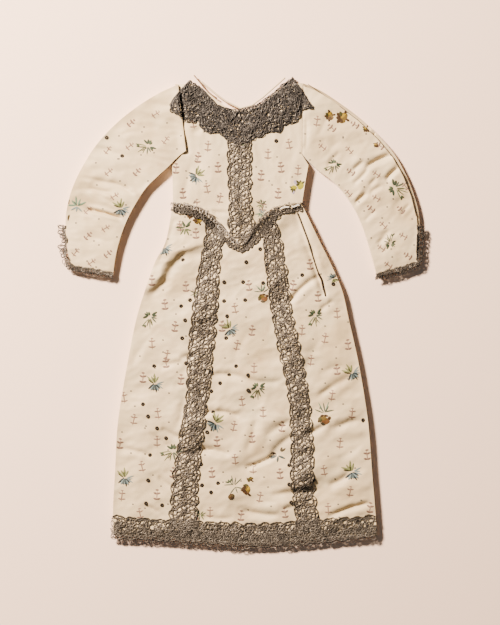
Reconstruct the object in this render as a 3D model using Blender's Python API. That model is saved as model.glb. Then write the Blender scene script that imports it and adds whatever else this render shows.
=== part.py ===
"""A small silk gown trimmed with metal lace, laid flat with its front up.

Lengths are in millimetres until a mesh is made. `across` runs from the centre
line towards the right-hand side of the view, `down` runs from the top of the
shoulders to the hem as a tailor measures, and heights rise from the surface
that the gown lies on.
"""
import math
from collections import namedtuple

import bmesh
import bpy
import numpy as np
from mathutils import Vector
from mathutils.bvhtree import BVHTree

MM = 0.001
FULL_LENGTH = 473.0
CENTRE_OFFSET = 0.5

BACK_WALL = 2.4
FRONT_WALL = 2.0
LACE_WALL = 1.0
FOLDED_LACE_WALL = 1.5
SEAM = 0.3
WAIST_GAP = 0.6

PUFF = 2.5
EDGE_ROLL = 5.0
RISE_LIMIT = 3.5
LIP_HEIGHT = 0.7
LIP_WIDTH = 5.0
OVERHANG = 2.6

PANEL_COLUMNS = 24
LACE_REPEAT = 13.0
SCALLOP_DEPTH = 2.2
HOLE_WIDTH = 6.0
HOLE_BULGE = 0.7
CELL_SAMPLES = 9
RING_SAMPLES = 8
NEAR = 2.4

Section = namedtuple("Section", "left_across left_down right_across right_down dip spread power")
Band = namedtuple("Band", "left_across left_down right_across right_down")
Fold = namedtuple("Fold", "panel from_across from_down to_across to_down height width")
Flat = namedtuple("Flat", "across down")

# The bodice from the shoulders to the V of the waist. The dip is how far a
# section sags at the centre line, over a bell of the given spread and power.
SHOULDER_LEFT, UNDERARM_LEFT = Flat(-64.0, 8.0), Flat(-56.0, 75.0)
SHOULDER_RIGHT, UNDERARM_RIGHT = Flat(61.0, 7.0), Flat(60.0, 78.0)
WAIST = Section(-69.0, 130.0, 59.5, 131.0, 43.0, 20.0, 1.3)

SKIRT_SECTIONS = [
    WAIST,
    Section(-76.0, 164.0, 77.0, 164.0, 28.0, 24.0, 1.4),
    Section(-87.0, 186.0, 88.0, 186.0, 18.0, 32.0, 1.6),
    Section(-97.0, 214.0, 100.0, 214.0, 8.0, 45.0, 1.8),
    Section(-106.0, 244.0, 107.0, 244.0, 3.0, 60.0, 2.0),
    Section(-114.0, 284.0, 116.0, 284.0, 0.0, 80.0, 2.0),
    Section(-121.0, 324.0, 123.0, 324.0, 0.0, 80.0, 2.0),
    Section(-125.0, 354.0, 127.0, 354.0, 1.0, 90.0, 2.0),
    Section(-127.0, 394.0, 130.0, 394.0, 3.0, 90.0, 2.0),
    Section(-129.0, 429.0, 133.0, 429.0, 6.0, 90.0, 2.0),
    Section(-129.0, 458.0, 135.0, 459.0, 8.0, 90.0, 2.0),
]

# Each sleeve from the armhole to the wrist. On the left sleeve the left edge
# is the outer one, on the right sleeve the right edge is.
SLEEVE_LEFT_SECTIONS = [
    Section(*SHOULDER_LEFT, *UNDERARM_LEFT, 0.0, 1.0, 2.0),
    Section(-82.0, 16.0, -64.0, 81.0, 0.0, 1.0, 2.0),
    Section(-102.0, 28.0, -74.0, 91.0, 0.0, 1.0, 2.0),
    Section(-124.0, 45.0, -85.0, 101.0, 0.0, 1.0, 2.0),
    Section(-145.0, 67.0, -96.0, 112.0, 0.0, 1.0, 2.0),
    Section(-161.0, 92.0, -104.0, 124.0, 0.0, 1.0, 2.0),
    Section(-171.0, 114.0, -112.0, 138.0, 0.0, 1.0, 2.0),
    Section(-176.0, 134.0, -119.0, 154.0, 0.0, 1.0, 2.0),
    Section(-177.0, 152.0, -124.0, 170.0, 0.0, 1.0, 2.0),
    Section(-175.0, 174.0, -127.0, 184.0, 0.0, 1.0, 2.0),
    Section(-172.0, 190.0, -129.0, 199.0, 0.0, 1.0, 2.0),
]
SLEEVE_RIGHT_SECTIONS = [
    Section(*UNDERARM_RIGHT, *SHOULDER_RIGHT, 0.0, 1.0, 2.0),
    Section(67.0, 86.0, 78.0, 14.0, 0.0, 1.0, 2.0),
    Section(78.0, 96.0, 98.0, 27.0, 0.0, 1.0, 2.0),
    Section(89.0, 104.0, 118.0, 42.0, 0.0, 1.0, 2.0),
    Section(99.0, 114.0, 138.0, 61.0, 0.0, 1.0, 2.0),
    Section(108.0, 126.0, 153.0, 79.0, 0.0, 1.0, 2.0),
    Section(115.0, 138.0, 164.0, 99.0, 0.0, 1.0, 2.0),
    Section(121.0, 152.0, 172.0, 119.0, 0.0, 1.0, 2.0),
    Section(126.0, 167.0, 177.0, 139.0, 0.0, 1.0, 2.0),
    Section(130.0, 181.0, 178.0, 162.0, 0.0, 1.0, 2.0),
    Section(135.0, 200.0, 177.0, 186.0, 0.0, 1.0, 2.0),
]
TOP_SLEEVE_INSET = {"left": 0.6, "right": 3.0}

# The back's neck edge, from the left shoulder round to the right one.
BACK_NECK = [
    Flat(-48.0, 0.0), Flat(-41.0, 5.0), Flat(-27.0, 17.0), Flat(-16.0, 25.0), Flat(-2.0, 32.0),
    Flat(10.0, 29.0), Flat(21.0, 21.0), Flat(38.0, 6.0), Flat(43.0, 1.5), Flat(50.0, 2.5),
]
BACK_WAIST_DIP = 10.0

# The lace bands, a row for each place where a band's course or width changes.
CENTRE_LACE = [
    Band(-14.0, 61.0, 9.0, 61.0),
    Band(-15.0, 89.0, 10.0, 89.0),
    Band(-14.0, 124.0, 9.0, 124.0),
    Band(-14.0, 152.0, 13.0, 152.0),
    Band(-10.0, 167.0, 13.0, 167.0),
]
SKIRT_LACE_LEFT = [
    Band(-37.0, 158.0, -17.0, 158.0),
    Band(-42.0, 184.0, -22.0, 184.0),
    Band(-49.0, 224.0, -24.0, 224.0),
    Band(-55.0, 284.0, -29.0, 284.0),
    Band(-57.0, 324.0, -34.0, 324.0),
    Band(-64.0, 364.0, -39.0, 364.0),
    Band(-70.0, 404.0, -43.0, 404.0),
    Band(-73.0, 440.0, -43.0, 440.0),
]
SKIRT_LACE_RIGHT = [
    Band(20.0, 164.0, 40.0, 164.0),
    Band(24.0, 204.0, 46.0, 204.0),
    Band(30.0, 244.0, 52.0, 244.0),
    Band(38.0, 284.0, 61.0, 284.0),
    Band(46.0, 324.0, 67.0, 324.0),
    Band(48.0, 364.0, 71.0, 364.0),
    Band(48.0, 404.0, 72.0, 404.0),
    Band(53.0, 440.0, 76.0, 440.0),
]
HEM_LACE = [
    Band(-131.0, 463.0, -130.0, 438.0),
    Band(-92.0, 465.0, -92.0, 442.0),
    Band(-42.0, 468.0, -42.0, 445.0),
    Band(-7.0, 472.0, -7.0, 446.0),
    Band(18.0, 473.0, 18.0, 448.0),
    Band(58.0, 471.0, 58.0, 444.0),
    Band(108.0, 466.0, 108.0, 440.0),
    Band(136.0, 464.0, 136.0, 438.0),
]
WAIST_LACE = [
    Band(-71.0, 136.0, -71.0, 127.0),
    Band(-57.0, 138.0, -56.0, 128.0),
    Band(-47.0, 141.0, -44.0, 131.0),
    Band(-37.0, 147.0, -32.0, 138.0),
    Band(-27.0, 157.0, -21.0, 149.0),
    Band(-17.0, 168.0, -11.0, 160.0),
    Band(-8.0, 175.0, -4.0, 167.0),
    Band(1.0, 177.5, 0.0, 169.0),
    Band(10.0, 172.0, 5.0, 164.0),
    Band(18.0, 161.0, 11.0, 155.0),
    Band(26.0, 150.0, 20.0, 142.0),
    Band(37.0, 141.0, 33.0, 132.0),
    Band(49.0, 137.0, 47.0, 128.0),
    Band(61.0, 136.0, 60.0, 126.0),
]
COLLAR_LACE = [
    Band(-66.0, 17.0, -52.0, 4.0),
    Band(-72.0, 37.0, -47.0, 6.0),
    Band(-55.0, 46.0, -39.0, 12.0),
    Band(-38.0, 55.0, -33.0, 21.0),
    Band(-22.0, 59.0, -22.0, 30.0),
    Band(-4.0, 65.0, -6.0, 33.0),
    Band(16.0, 60.0, 10.0, 32.0),
    Band(30.0, 57.0, 21.0, 26.0),
    Band(44.0, 50.0, 30.0, 19.0),
    Band(59.0, 42.0, 38.0, 10.0),
    Band(71.0, 32.0, 45.0, 4.0),
    Band(59.0, 16.0, 50.0, 1.0),
]
CUFF_LACE_LEFT = [Band(-176.0, 197.5, -174.0, 189.0), Band(-130.0, 207.5, -127.5, 198.5)]
CUFF_LACE_RIGHT = [Band(134.5, 208.0, 133.0, 199.0), Band(179.5, 194.5, 178.0, 186.0)]
SLIT_LACE_LEFT = [
    Band(-184.0, 144.0, -173.0, 146.0),
    Band(-187.0, 164.0, -173.5, 164.0),
    Band(-182.0, 189.0, -170.5, 184.0),
]
SLIT_LACE_RIGHT = [
    Band(174.5, 150.0, 182.0, 148.0),
    Band(174.5, 168.0, 186.0, 168.0),
    Band(174.0, 181.0, 186.0, 186.0),
]
COLLAR_WAVES = 11
COLLAR_WAVE_HEIGHT = 0.9

# The largest creases, as ridges (height above zero) and troughs (below zero).
FOLDS = [
    Fold("skirt_front", -42.0, 168.0, -64.0, 170.0, 1.1, 6.0),
    Fold("skirt_front", -64.0, 170.0, -78.0, 182.0, 1.1, 6.0),
    Fold("skirt_front", -78.0, 182.0, -84.0, 199.0, 1.1, 6.0),
    Fold("skirt_front", -84.0, 199.0, -95.0, 212.0, 1.1, 6.0),
    Fold("skirt_front", -40.0, 178.0, -60.0, 181.0, -1.4, 5.5),
    Fold("skirt_front", -60.0, 181.0, -72.0, 192.0, -1.4, 5.5),
    Fold("skirt_front", -72.0, 192.0, -79.0, 206.0, -1.4, 5.5),
    Fold("skirt_front", -79.0, 206.0, -90.0, 217.0, -1.4, 5.5),
    Fold("skirt_front", 55.0, 140.0, 68.0, 174.0, -1.3, 4.5),
    Fold("skirt_front", 68.0, 174.0, 82.0, 216.0, -1.3, 4.5),
    Fold("skirt_front", 66.0, 148.0, 80.0, 184.0, 0.9, 6.0),
    Fold("skirt_front", 80.0, 184.0, 92.0, 216.0, 0.9, 6.0),
    Fold("skirt_front", -2.0, 392.0, 36.0, 377.0, -1.3, 6.0),
    Fold("skirt_front", 36.0, 377.0, 74.0, 355.0, -1.3, 6.0),
    Fold("skirt_front", -6.0, 380.0, 34.0, 365.0, 0.9, 7.0),
    Fold("skirt_front", 28.0, 420.0, 73.0, 414.0, -1.1, 6.0),
    Fold("skirt_front", 73.0, 414.0, 108.0, 399.0, -1.1, 6.0),
    Fold("skirt_front", 36.0, 408.0, 92.0, 398.0, 0.8, 7.0),
    Fold("skirt_front", -35.0, 337.0, -4.0, 340.0, -0.9, 5.0),
    Fold("skirt_front", -40.0, 374.0, -12.0, 375.0, -0.9, 5.0),
    Fold("skirt_front", -120.0, 372.0, -92.0, 379.0, -0.8, 5.0),
    Fold("skirt_front", -54.0, 304.0, -63.0, 336.0, 0.9, 7.0),
    Fold("skirt_front", -28.0, 300.0, 10.0, 303.0, -0.7, 5.0),
    Fold("skirt_front", -82.0, 288.0, -56.0, 290.0, -0.8, 5.0),
    Fold("skirt_front", 93.0, 351.0, 115.0, 345.0, -0.8, 5.0),
    Fold("skirt_front", 8.0, 436.0, 36.0, 439.0, -0.8, 5.0),
    Fold("sleeve_top_left", -154.0, 134.0, -124.0, 141.0, -1.1, 4.5),
    Fold("sleeve_top_left", -159.0, 109.0, -112.0, 114.0, -0.9, 5.0),
    Fold("sleeve_top_left", -150.0, 122.0, -118.0, 128.0, 0.8, 6.0),
    Fold("sleeve_top_right", 110.0, 94.0, 146.0, 80.0, -1.1, 4.5),
    Fold("sleeve_top_right", 145.0, 102.0, 156.0, 91.0, -0.9, 4.5),
    Fold("sleeve_top_right", 111.0, 127.0, 127.0, 113.0, -0.9, 4.5),
    Fold("sleeve_top_right", 118.0, 104.0, 146.0, 92.0, 0.8, 6.0),
]

SILK = ("cream silk", (0.76, 0.66, 0.56), 0.55, 0.0)
METAL_LACE = ("tarnished metal lace", (0.20, 0.15, 0.11), 0.45, 0.8)
DARK_METAL_LACE = ("dark metal lace", (0.09, 0.07, 0.06), 0.5, 0.8)


def clear_scene():
    """Remove the objects that the file opened with."""
    for item in list(bpy.data.objects):
        bpy.data.objects.remove(item, do_unlink=True)


def principled(name, colour, roughness, metallic):
    """Return a Principled material, made once for each name."""
    found = bpy.data.materials.get(name)
    if found:
        return found
    material = bpy.data.materials.new(name)
    material.use_nodes = True
    shader = material.node_tree.nodes["Principled BSDF"]
    shader.inputs["Base Color"].default_value = (*colour, 1.0)
    shader.inputs["Roughness"].default_value = roughness
    shader.inputs["Metallic"].default_value = metallic
    return material


def row_at(rows, place, smooth):
    """Read a table of rows at a place between two of them, on a curve or a straight line."""
    index = min(int(place), len(rows) - 2)
    share = place - index
    start, end = np.array(rows[index], float), np.array(rows[index + 1], float)
    if not smooth:
        return start + (end - start) * share
    before = np.array(rows[max(index - 1, 0)], float)
    after = np.array(rows[min(index + 2, len(rows) - 1)], float)
    leave, arrive = (end - before) / 2, (after - start) / 2
    return (start * (2 * share**3 - 3 * share**2 + 1) + leave * (share**3 - 2 * share**2 + share)
            + end * (3 * share**2 - 2 * share**3) + arrive * (share**3 - share**2))


def section_point(row, share):
    """A point on a section, a share of the way from its left edge to its right one."""
    left_across, left_down, right_across, right_down, dip, spread, power = row
    across = left_across + (right_across - left_across) * share
    bell = math.exp(-(abs(across) / spread) ** power)
    return np.array([across, left_down + (right_down - left_down) * share + dip * bell])


def section_grid(sections, columns, steps, smooth):
    """Points of a panel in rows from its top section to its bottom one."""
    rows = (len(sections) - 1) * steps
    return [[section_point(row_at(sections, row / steps, smooth), column / columns)
             for column in range(columns + 1)] for row in range(rows + 1)]


def edge_line(sections, share, smooth, steps=4):
    """The line that a panel's points at one share make, as an array of points."""
    rows = (len(sections) - 1) * steps
    return np.array([section_point(row_at(sections, row / steps, smooth), share) for row in range(rows + 1)])


def cross_line(section, points=24):
    """One section across its panel, as an array of points."""
    return np.array([section_point(section, point / points) for point in range(points + 1)])


def distance(point, line):
    """The shortest distance from a point to a line of points."""
    start, run = line[:-1], np.diff(line, axis=0)
    share = np.clip(((point - start) * run).sum(1) / (run * run).sum(1), 0.0, 1.0)
    return np.hypot(*(start + run * share[:, None] - point).T).min()


def armhole_section(fraction, dip, spread, power):
    """A bodice section whose ends lie on the two armhole seams, a seam's gap inside them."""
    ends = []
    for shoulder, underarm, side in ((SHOULDER_LEFT, UNDERARM_LEFT, 1.0), (SHOULDER_RIGHT, UNDERARM_RIGHT, -1.0)):
        ends += [shoulder.across + (underarm.across - shoulder.across) * fraction + side * SEAM * 1.1,
                 shoulder.down + (underarm.down - shoulder.down) * fraction]
    return Section(*ends, dip, spread, power)


BODICE_SECTIONS = [
    armhole_section(0.0, 27.0, 33.0, 2.6),
    armhole_section(0.38, 12.0, 34.0, 2.6),
    armhole_section(0.74, 3.0, 34.0, 2.2),
    armhole_section(1.0, 3.0, 30.0, 1.9),
    Section(-70.0, 90.0, 66.5, 89.0, 8.0, 26.0, 1.6),
    Section(-69.5, 108.0, 63.5, 105.0, 22.0, 22.0, 1.4),
    WAIST,
]
BACK_WAIST = WAIST._replace(dip=BACK_WAIST_DIP, spread=35.0, power=2.0)


def inset(sections, side, amount):
    """The same sections with their left or right edge moved in by an amount."""
    moved = []
    for row in sections:
        run = np.array([row.right_across - row.left_across, row.right_down - row.left_down])
        step = run / np.hypot(*run) * amount
        if side == "left":
            moved.append(row._replace(left_across=row.left_across + step[0], left_down=row.left_down + step[1]))
        else:
            moved.append(row._replace(right_across=row.right_across - step[0], right_down=row.right_down - step[1]))
    return moved


def lowered(section, amount):
    """A section moved down by an amount."""
    return section._replace(left_down=section.left_down + amount, right_down=section.right_down + amount)


def free_edges():
    """The garment's edges where the front cloth rolls down to the back."""
    edges = [cross_line(SKIRT_SECTIONS[-1]), cross_line(BODICE_SECTIONS[0])]
    for share in (0.0, 1.0):
        edges.append(edge_line(SKIRT_SECTIONS, share, True))
        edges.append(edge_line(BODICE_SECTIONS[3:], share, False))
        edges.append(edge_line(SLEEVE_LEFT_SECTIONS, share, True))
        edges.append(edge_line(SLEEVE_RIGHT_SECTIONS, share, True))
    edges += [cross_line(SLEEVE_LEFT_SECTIONS[-1]), cross_line(SLEEVE_RIGHT_SECTIONS[-1])]
    return edges


FREE_EDGES = free_edges()
LIPS = {"bodice_front": cross_line(WAIST), "sleeve_top_left": cross_line(SLEEVE_LEFT_SECTIONS[0])}


def rise(panel, point):
    """How far the front cloth stands off the back at a point of a panel."""
    roll = 1.0 - math.exp(-min(distance(point, edge) for edge in FREE_EDGES) / EDGE_ROLL)
    creases = 0.0
    for fold in FOLDS:
        if fold.panel == panel:
            line = np.array([[fold.from_across, fold.from_down], [fold.to_across, fold.to_down]])
            creases += fold.height * math.exp(-(distance(point, line) / fold.width) ** 2)
    return min(max((PUFF + creases) * roll, 0.0), RISE_LIMIT)


def front_heights(panel, point):
    """The underside and the outside height of a front panel at a point."""
    under = BACK_WALL + SEAM + rise(panel, point)
    lip = 0.0
    if panel in LIPS:
        lip = LIP_HEIGHT * math.exp(-(distance(point, LIPS[panel]) / LIP_WIDTH) ** 2)
    return under, under + FRONT_WALL + lip


def placed(point, height):
    """A point of the tables and its height as metres in the gown's frame."""
    return Vector(((point[0] + CENTRE_OFFSET) * MM, (FULL_LENGTH / 2 - point[1]) * MM, height * MM))


def finish_mesh(name, mesh, finish):
    """Close a bmesh into a named object with its own material."""
    bmesh.ops.triangulate(mesh, faces=mesh.faces[:])
    bmesh.ops.recalc_face_normals(mesh, faces=mesh.faces[:])
    data = bpy.data.meshes.new(name)
    mesh.to_mesh(data)
    mesh.free()
    data.materials.append(principled(*finish))
    item = bpy.data.objects.new(name, data)
    bpy.context.scene.collection.objects.link(item)
    data.shade_smooth()
    data.set_sharp_from_angle(angle=math.radians(50))
    return item


def walled_grid(name, points, unders, tops, finish, gaps=()):
    """A wall over a grid of points, with the grid cells named in gaps left open."""
    mesh = bmesh.new()
    rows, columns = len(points) - 1, len(points[0]) - 1
    layers = [[[mesh.verts.new(placed(points[row][column], heights[row][column]))
                for column in range(columns + 1)] for row in range(rows + 1)] for heights in (unders, tops)]
    filled = {(row, column) for row in range(rows) for column in range(columns)} - set(gaps)
    for row, column in sorted(filled):
        corners = [(row, column), (row + 1, column), (row + 1, column + 1), (row, column + 1)]
        for layer, order in ((layers[1], corners), (layers[0], corners[::-1])):
            mesh.faces.new([layer[r][c] for r, c in order])
        neighbours = [(row, column - 1), (row + 1, column), (row, column + 1), (row - 1, column)]
        for side, neighbour in enumerate(neighbours):
            if neighbour not in filled:
                (r0, c0), (r1, c1) = corners[side], corners[(side + 1) % 4]
                mesh.faces.new([layers[1][r1][c1], layers[1][r0][c0], layers[0][r0][c0], layers[0][r1][c1]])
    loose = [vertex for vertex in mesh.verts if not vertex.link_faces]
    bmesh.ops.delete(mesh, geom=loose, context="VERTS")
    return finish_mesh(name, mesh, finish)


def front_panel(name, sections, columns, steps, smooth):
    """A cloth panel of the front, from its sections and the heights under and over it."""
    points = section_grid(sections, columns, steps, smooth)
    heights = [[front_heights(name, point) for point in line] for line in points]
    unders = [[pair[0] for pair in line] for line in heights]
    tops = [[pair[1] for pair in line] for line in heights]
    return walled_grid(name, points, unders, tops, SILK)


def back_panel(name, outline):
    """A flat cloth panel of the back, whose underside is what the gown rests on."""
    mesh = bmesh.new()
    base = mesh.faces.new([mesh.verts.new(placed(point, 0.0)) for point in outline])
    raised = bmesh.ops.extrude_face_region(mesh, geom=[base])
    corners = [item for item in raised["geom"] if isinstance(item, bmesh.types.BMVert)]
    bmesh.ops.translate(mesh, verts=corners, vec=(0.0, 0.0, BACK_WALL * MM))
    return finish_mesh(name, mesh, SILK)


def sections_outline(sections, smooth, steps, end_points, top=None):
    """The outline of a panel: down its left edge, along the bottom, up the right, back over the top."""
    left = edge_line(sections, 0.0, smooth, steps)
    right = edge_line(sections, 1.0, smooth, steps)[::-1]
    bottom = cross_line(sections[-1], end_points)[1:-1]
    over = cross_line(sections[0], end_points)[1:-1] if top is None else np.array(top)
    return [*left, *bottom, *right, *over[::-1]]


class Surface:
    """The outside of all that is laid so far, which the next lace band rests on."""

    def __init__(self):
        self.trees = []

    def add(self, item):
        """Let later bands rest on this object too."""
        mesh = bmesh.new()
        mesh.from_mesh(item.data)
        self.trees.append(BVHTree.FromBMesh(mesh))
        mesh.free()

    def height(self, point):
        """Height of the top of the pile at a point, or of a free edge where there is no cloth."""
        above = placed(point, 60.0)
        hits = [tree.ray_cast(above, Vector((0.0, 0.0, -1.0)))[0] for tree in self.trees]
        return max([hit.z / MM for hit in hits if hit] + [OVERHANG])

    def highest_near(self, point):
        """The highest of the pile at a point and on a ring round it."""
        turns = [2.0 * math.pi * step / RING_SAMPLES for step in range(RING_SAMPLES)]
        ring = [point + NEAR * np.array([math.cos(turn), math.sin(turn)]) for turn in turns]
        return max(self.height(place) for place in [point, *ring])


def settled_heights(points, surface):
    """Heights for a grid of points that keep every cell a seam's gap above the pile."""
    heights = np.array([[surface.highest_near(point) + SEAM for point in line] for line in points])
    for row in range(len(points) - 1):
        for column in range(len(points[0]) - 1):
            raise_cell(points, heights, row, column, surface)
    return heights


def lowest_in_cell(corners, along, across):
    """Height inside a four-cornered cell, on the lower of the two ways to split it into triangles."""
    start, down, right, far = corners
    if along > across:
        first = start + along * (down - start) + across * (far - down)
    else:
        first = start + across * (right - start) + along * (far - right)
    if along + across < 1.0:
        second = start + along * (down - start) + across * (right - start)
    else:
        second = far + (1.0 - along) * (right - far) + (1.0 - across) * (down - far)
    return min(first, second)


def raise_cell(points, heights, row, column, surface):
    """Raise the four corners of one cell until its inside clears the pile."""
    corners = [(row, column), (row + 1, column), (row, column + 1), (row + 1, column + 1)]
    places = [points[r][c] for r, c in corners]
    here = [heights[corner] for corner in corners]
    shares = np.linspace(0.0, 1.0, CELL_SAMPLES)
    shortfall = 0.0
    for along in shares:
        for across in shares:
            near = places[0] * (1 - along) + places[1] * along
            far = places[2] * (1 - along) + places[3] * along
            needed = surface.height(near * (1 - across) + far * across) + SEAM
            shortfall = max(shortfall, needed - lowest_in_cell(here, along, across))
    for corner in corners:
        heights[corner] += shortfall


def band_course(bands, pieces=12):
    """Places in a band's table, and how far along its middle each of them is."""
    places = [index / pieces for index in range((len(bands) - 1) * pieces + 1)]
    rows = np.array([row_at(bands, place, True) for place in places])
    steps = np.diff((rows[:, :2] + rows[:, 2:]) / 2, axis=0)
    return places, np.concatenate([[0.0], np.cumsum(np.hypot(*steps.T))])


def lace_band(name, bands, surface, finish, wall=LACE_WALL, pierced=False, waves=0):
    """A lace band: scalloped at both edges, resting on the pile, pierced once in each repeat."""
    places, runs = band_course(bands)
    repeats = max(round(runs[-1] / LACE_REPEAT), 1)
    phases = (0.0, 0.27, 0.5, 0.73) if pierced else (0.0, 0.5)
    stations = [index + phase for index in range(repeats) for phase in phases] + [repeats]
    points = []
    for station in stations:
        row = row_at(bands, float(np.interp(runs[-1] * station / repeats, runs, places)), True)
        left, right = row[:2], row[2:]
        width = np.hypot(*(right - left))
        swell = math.cos(2 * math.pi * station) / 2 + 0.5
        trim = SCALLOP_DEPTH * swell / width
        hole = (HOLE_WIDTH / 2 + HOLE_BULGE * (1.0 - swell)) / width
        middle = (0.5 - hole, 0.5 + hole) if pierced else (0.5,)
        points.append([left + (right - left) * share for share in (trim, *middle, 1.0 - trim)])
    unders = settled_heights(points, surface)
    if waves:
        for row, station in enumerate(stations):
            lift = COLLAR_WAVE_HEIGHT * (math.sin(math.pi * waves * station / repeats) ** 2)
            unders[row][:-1] += lift
    gaps = [(index * 4 + step, 1) for index in range(repeats) for step in (1, 2)] if pierced else ()
    band = walled_grid(name, points, unders, unders + wall, finish, gaps)
    surface.add(band)
    return band


def build_back():
    """The four flat panels that the gown rests on."""
    bodice = [*BODICE_SECTIONS[:-1], BACK_WAIST]
    outline = sections_outline(bodice, False, 2, 16, top=BACK_NECK)
    back_panel("bodice_back", outline)
    skirt = [lowered(BACK_WAIST, WAIST_GAP), *SKIRT_SECTIONS[1:]]
    back_panel("skirt_back", sections_outline(skirt, True, 2, 16))
    back_panel("sleeve_under_left", sections_outline(SLEEVE_LEFT_SECTIONS, True, 2, 6))
    back_panel("sleeve_under_right", sections_outline(SLEEVE_RIGHT_SECTIONS, True, 2, 6))


def build_front(surface):
    """The cloth panels of the front, laid on the back ones."""
    skirt = [lowered(WAIST, WAIST_GAP), *SKIRT_SECTIONS[1:]]
    left = inset(SLEEVE_LEFT_SECTIONS, "left", TOP_SLEEVE_INSET["left"])
    right = inset(SLEEVE_RIGHT_SECTIONS, "right", TOP_SLEEVE_INSET["right"])
    surface.add(front_panel("skirt_front", skirt, PANEL_COLUMNS, 3, True))
    surface.add(front_panel("bodice_front", BODICE_SECTIONS, PANEL_COLUMNS, 2, False))
    surface.add(front_panel("sleeve_top_left", left, 9, 2, True))
    surface.add(front_panel("sleeve_top_right", right, 9, 2, True))


def build_lace(surface):
    """The lace bands, each resting on the cloth and on the bands under it."""
    lace_band("centre_lace", CENTRE_LACE, surface, METAL_LACE, pierced=True)
    lace_band("skirt_lace_left", SKIRT_LACE_LEFT, surface, METAL_LACE, pierced=True)
    lace_band("skirt_lace_right", SKIRT_LACE_RIGHT, surface, METAL_LACE, pierced=True)
    lace_band("hem_lace", HEM_LACE, surface, METAL_LACE, pierced=True)
    lace_band("waist_lace", WAIST_LACE, surface, METAL_LACE, wall=FOLDED_LACE_WALL)
    lace_band("collar_lace", COLLAR_LACE, surface, DARK_METAL_LACE, waves=COLLAR_WAVES)
    lace_band("cuff_lace_left", CUFF_LACE_LEFT, surface, METAL_LACE, wall=FOLDED_LACE_WALL)
    lace_band("cuff_lace_right", CUFF_LACE_RIGHT, surface, METAL_LACE, wall=FOLDED_LACE_WALL)
    lace_band("slit_lace_left", SLIT_LACE_LEFT, surface, METAL_LACE)
    lace_band("slit_lace_right", SLIT_LACE_RIGHT, surface, METAL_LACE)


def main():
    """Build the gown from the back up."""
    clear_scene()
    surface = Surface()
    build_back()
    build_front(surface)
    build_lace(surface)


main()
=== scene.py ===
"""A small silk gown trimmed with metal lace, laid flat: its finished look, built round its solids.

Tables are in millimetres. `across` runs from the centre line towards the right
of the view, `down` runs from the top of the shoulders to the hem, and heights
rise from the surface that the gown lies on.
"""

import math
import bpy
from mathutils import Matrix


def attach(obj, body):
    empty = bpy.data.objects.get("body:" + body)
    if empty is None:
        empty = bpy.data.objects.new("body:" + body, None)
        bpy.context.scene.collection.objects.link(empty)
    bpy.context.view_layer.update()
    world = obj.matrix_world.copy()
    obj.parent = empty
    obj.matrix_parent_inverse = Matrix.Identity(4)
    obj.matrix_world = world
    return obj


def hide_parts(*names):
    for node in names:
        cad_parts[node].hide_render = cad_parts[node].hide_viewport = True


bl_info = {
    "name": "Small Silk Gown",
    "version": (1, 0, 0),
    "blender": (4, 5, 0),
    "location": "View3D > Sidebar > Gown",
    "description": "Brocaded silk panels, sprigs, metal bobbin lace and spangles of a small gown laid flat",
    "category": "Add Mesh",
}

from collections import namedtuple

import bpy
import numpy as np
from mathutils import Vector, noise
from mathutils.bvhtree import BVHTree

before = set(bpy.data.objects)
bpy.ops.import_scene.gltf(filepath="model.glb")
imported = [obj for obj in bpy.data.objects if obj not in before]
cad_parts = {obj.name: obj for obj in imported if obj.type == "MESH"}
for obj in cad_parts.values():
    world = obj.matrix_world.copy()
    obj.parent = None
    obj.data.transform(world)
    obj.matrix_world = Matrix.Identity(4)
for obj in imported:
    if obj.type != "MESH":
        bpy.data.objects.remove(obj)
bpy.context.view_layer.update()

# The gown's centre line lies a little to the left of the frame's origin.
MM = 0.001
FULL_LENGTH = 473.0
CENTRE_OFFSET = 0.5

# The same walls and rises as the solids.
BACK_WALL = 2.4
FRONT_WALL = 2.0
SEAM = 0.3
PUFF = 2.5
RISE_LIMIT = 3.5

# The cloth's thin wall, the narrow cells that turn its edges down, its lower ends, and the skirt's tuck.
SHELL_WALL = 0.5
EDGE_HEIGHT = 1.4
EDGE_STEP = 0.12
END_DROP = 1.8
END_FADE = 6.0
TUCK = 4.0

# How high lace hangs where it passes the cloth's edge, and how fast it sinks away from that edge.
OVERHANG = 3.2
HEM_OVERHANG = 5.8
CUFF_OVERHANG = 5.6
SLIT_OVERHANG = 6.0
SINK = 0.22
LOWEST = 1.0

# The raised lips beside a crease: their share of its depth, and their place and spread in its widths.
LIP_SHARE = 0.34
LIP_PLACE = 2.4
LIP_SPREAD = 1.5
CREASE_SHARE = 0.88
FLAP_STEP = 2.7

# The under layers that show: the back's neck edge and the right sleeve's turned-up edge.
NECK_RISE = 3.4
NECK_REACH = 5.0
TURNED_RISE = 5.6
TURNED_DIP = 1.2
TURNED_WIDTH = 3.6

IMAGE_HEIGHT_MM = 625.0
IMAGE_CENTRE_ACROSS = 8.0
CAMERA_HEIGHT = 1.8
LIGHT_COLOUR = (1.0, 0.80, 0.64)
GOWN_MID_HEIGHT = 0.006

Section = namedtuple("Section", "left_across left_down right_across right_down dip spread power",
                     defaults=(0.0, 1.0, 2.0))
Band = namedtuple("Band", "left_across left_down right_across right_down")
Fold = namedtuple("Fold", "from_across from_down to_across to_down height width")
Crease = namedtuple("Crease", "from_across from_down to_across to_down bow depth width")
Flap = namedtuple("Flap", "height reach course")
Flat = namedtuple("Flat", "across down")
Figure = namedtuple("Figure", "kind across down")
Grain = namedtuple("Grain", "turn figures")
Sprig = namedtuple("Sprig", "kind across down turn size")
Stroke = namedtuple("Stroke", "tint right up length width turn")
Fan = namedtuple("Fan", "tint right up first last count length width")
Feel = namedtuple("Feel", "seed turn stretch strength swell")
Rise = namedtuple("Rise", "line rise reach")
Trim = namedtuple("Trim", "name bands seed overhang edge", defaults=(OVERHANG, None))
Net = namedtuple("Net", "margins cell cord layer lift part finish", defaults=(0.0, (0.0, 1.0), None))
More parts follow.
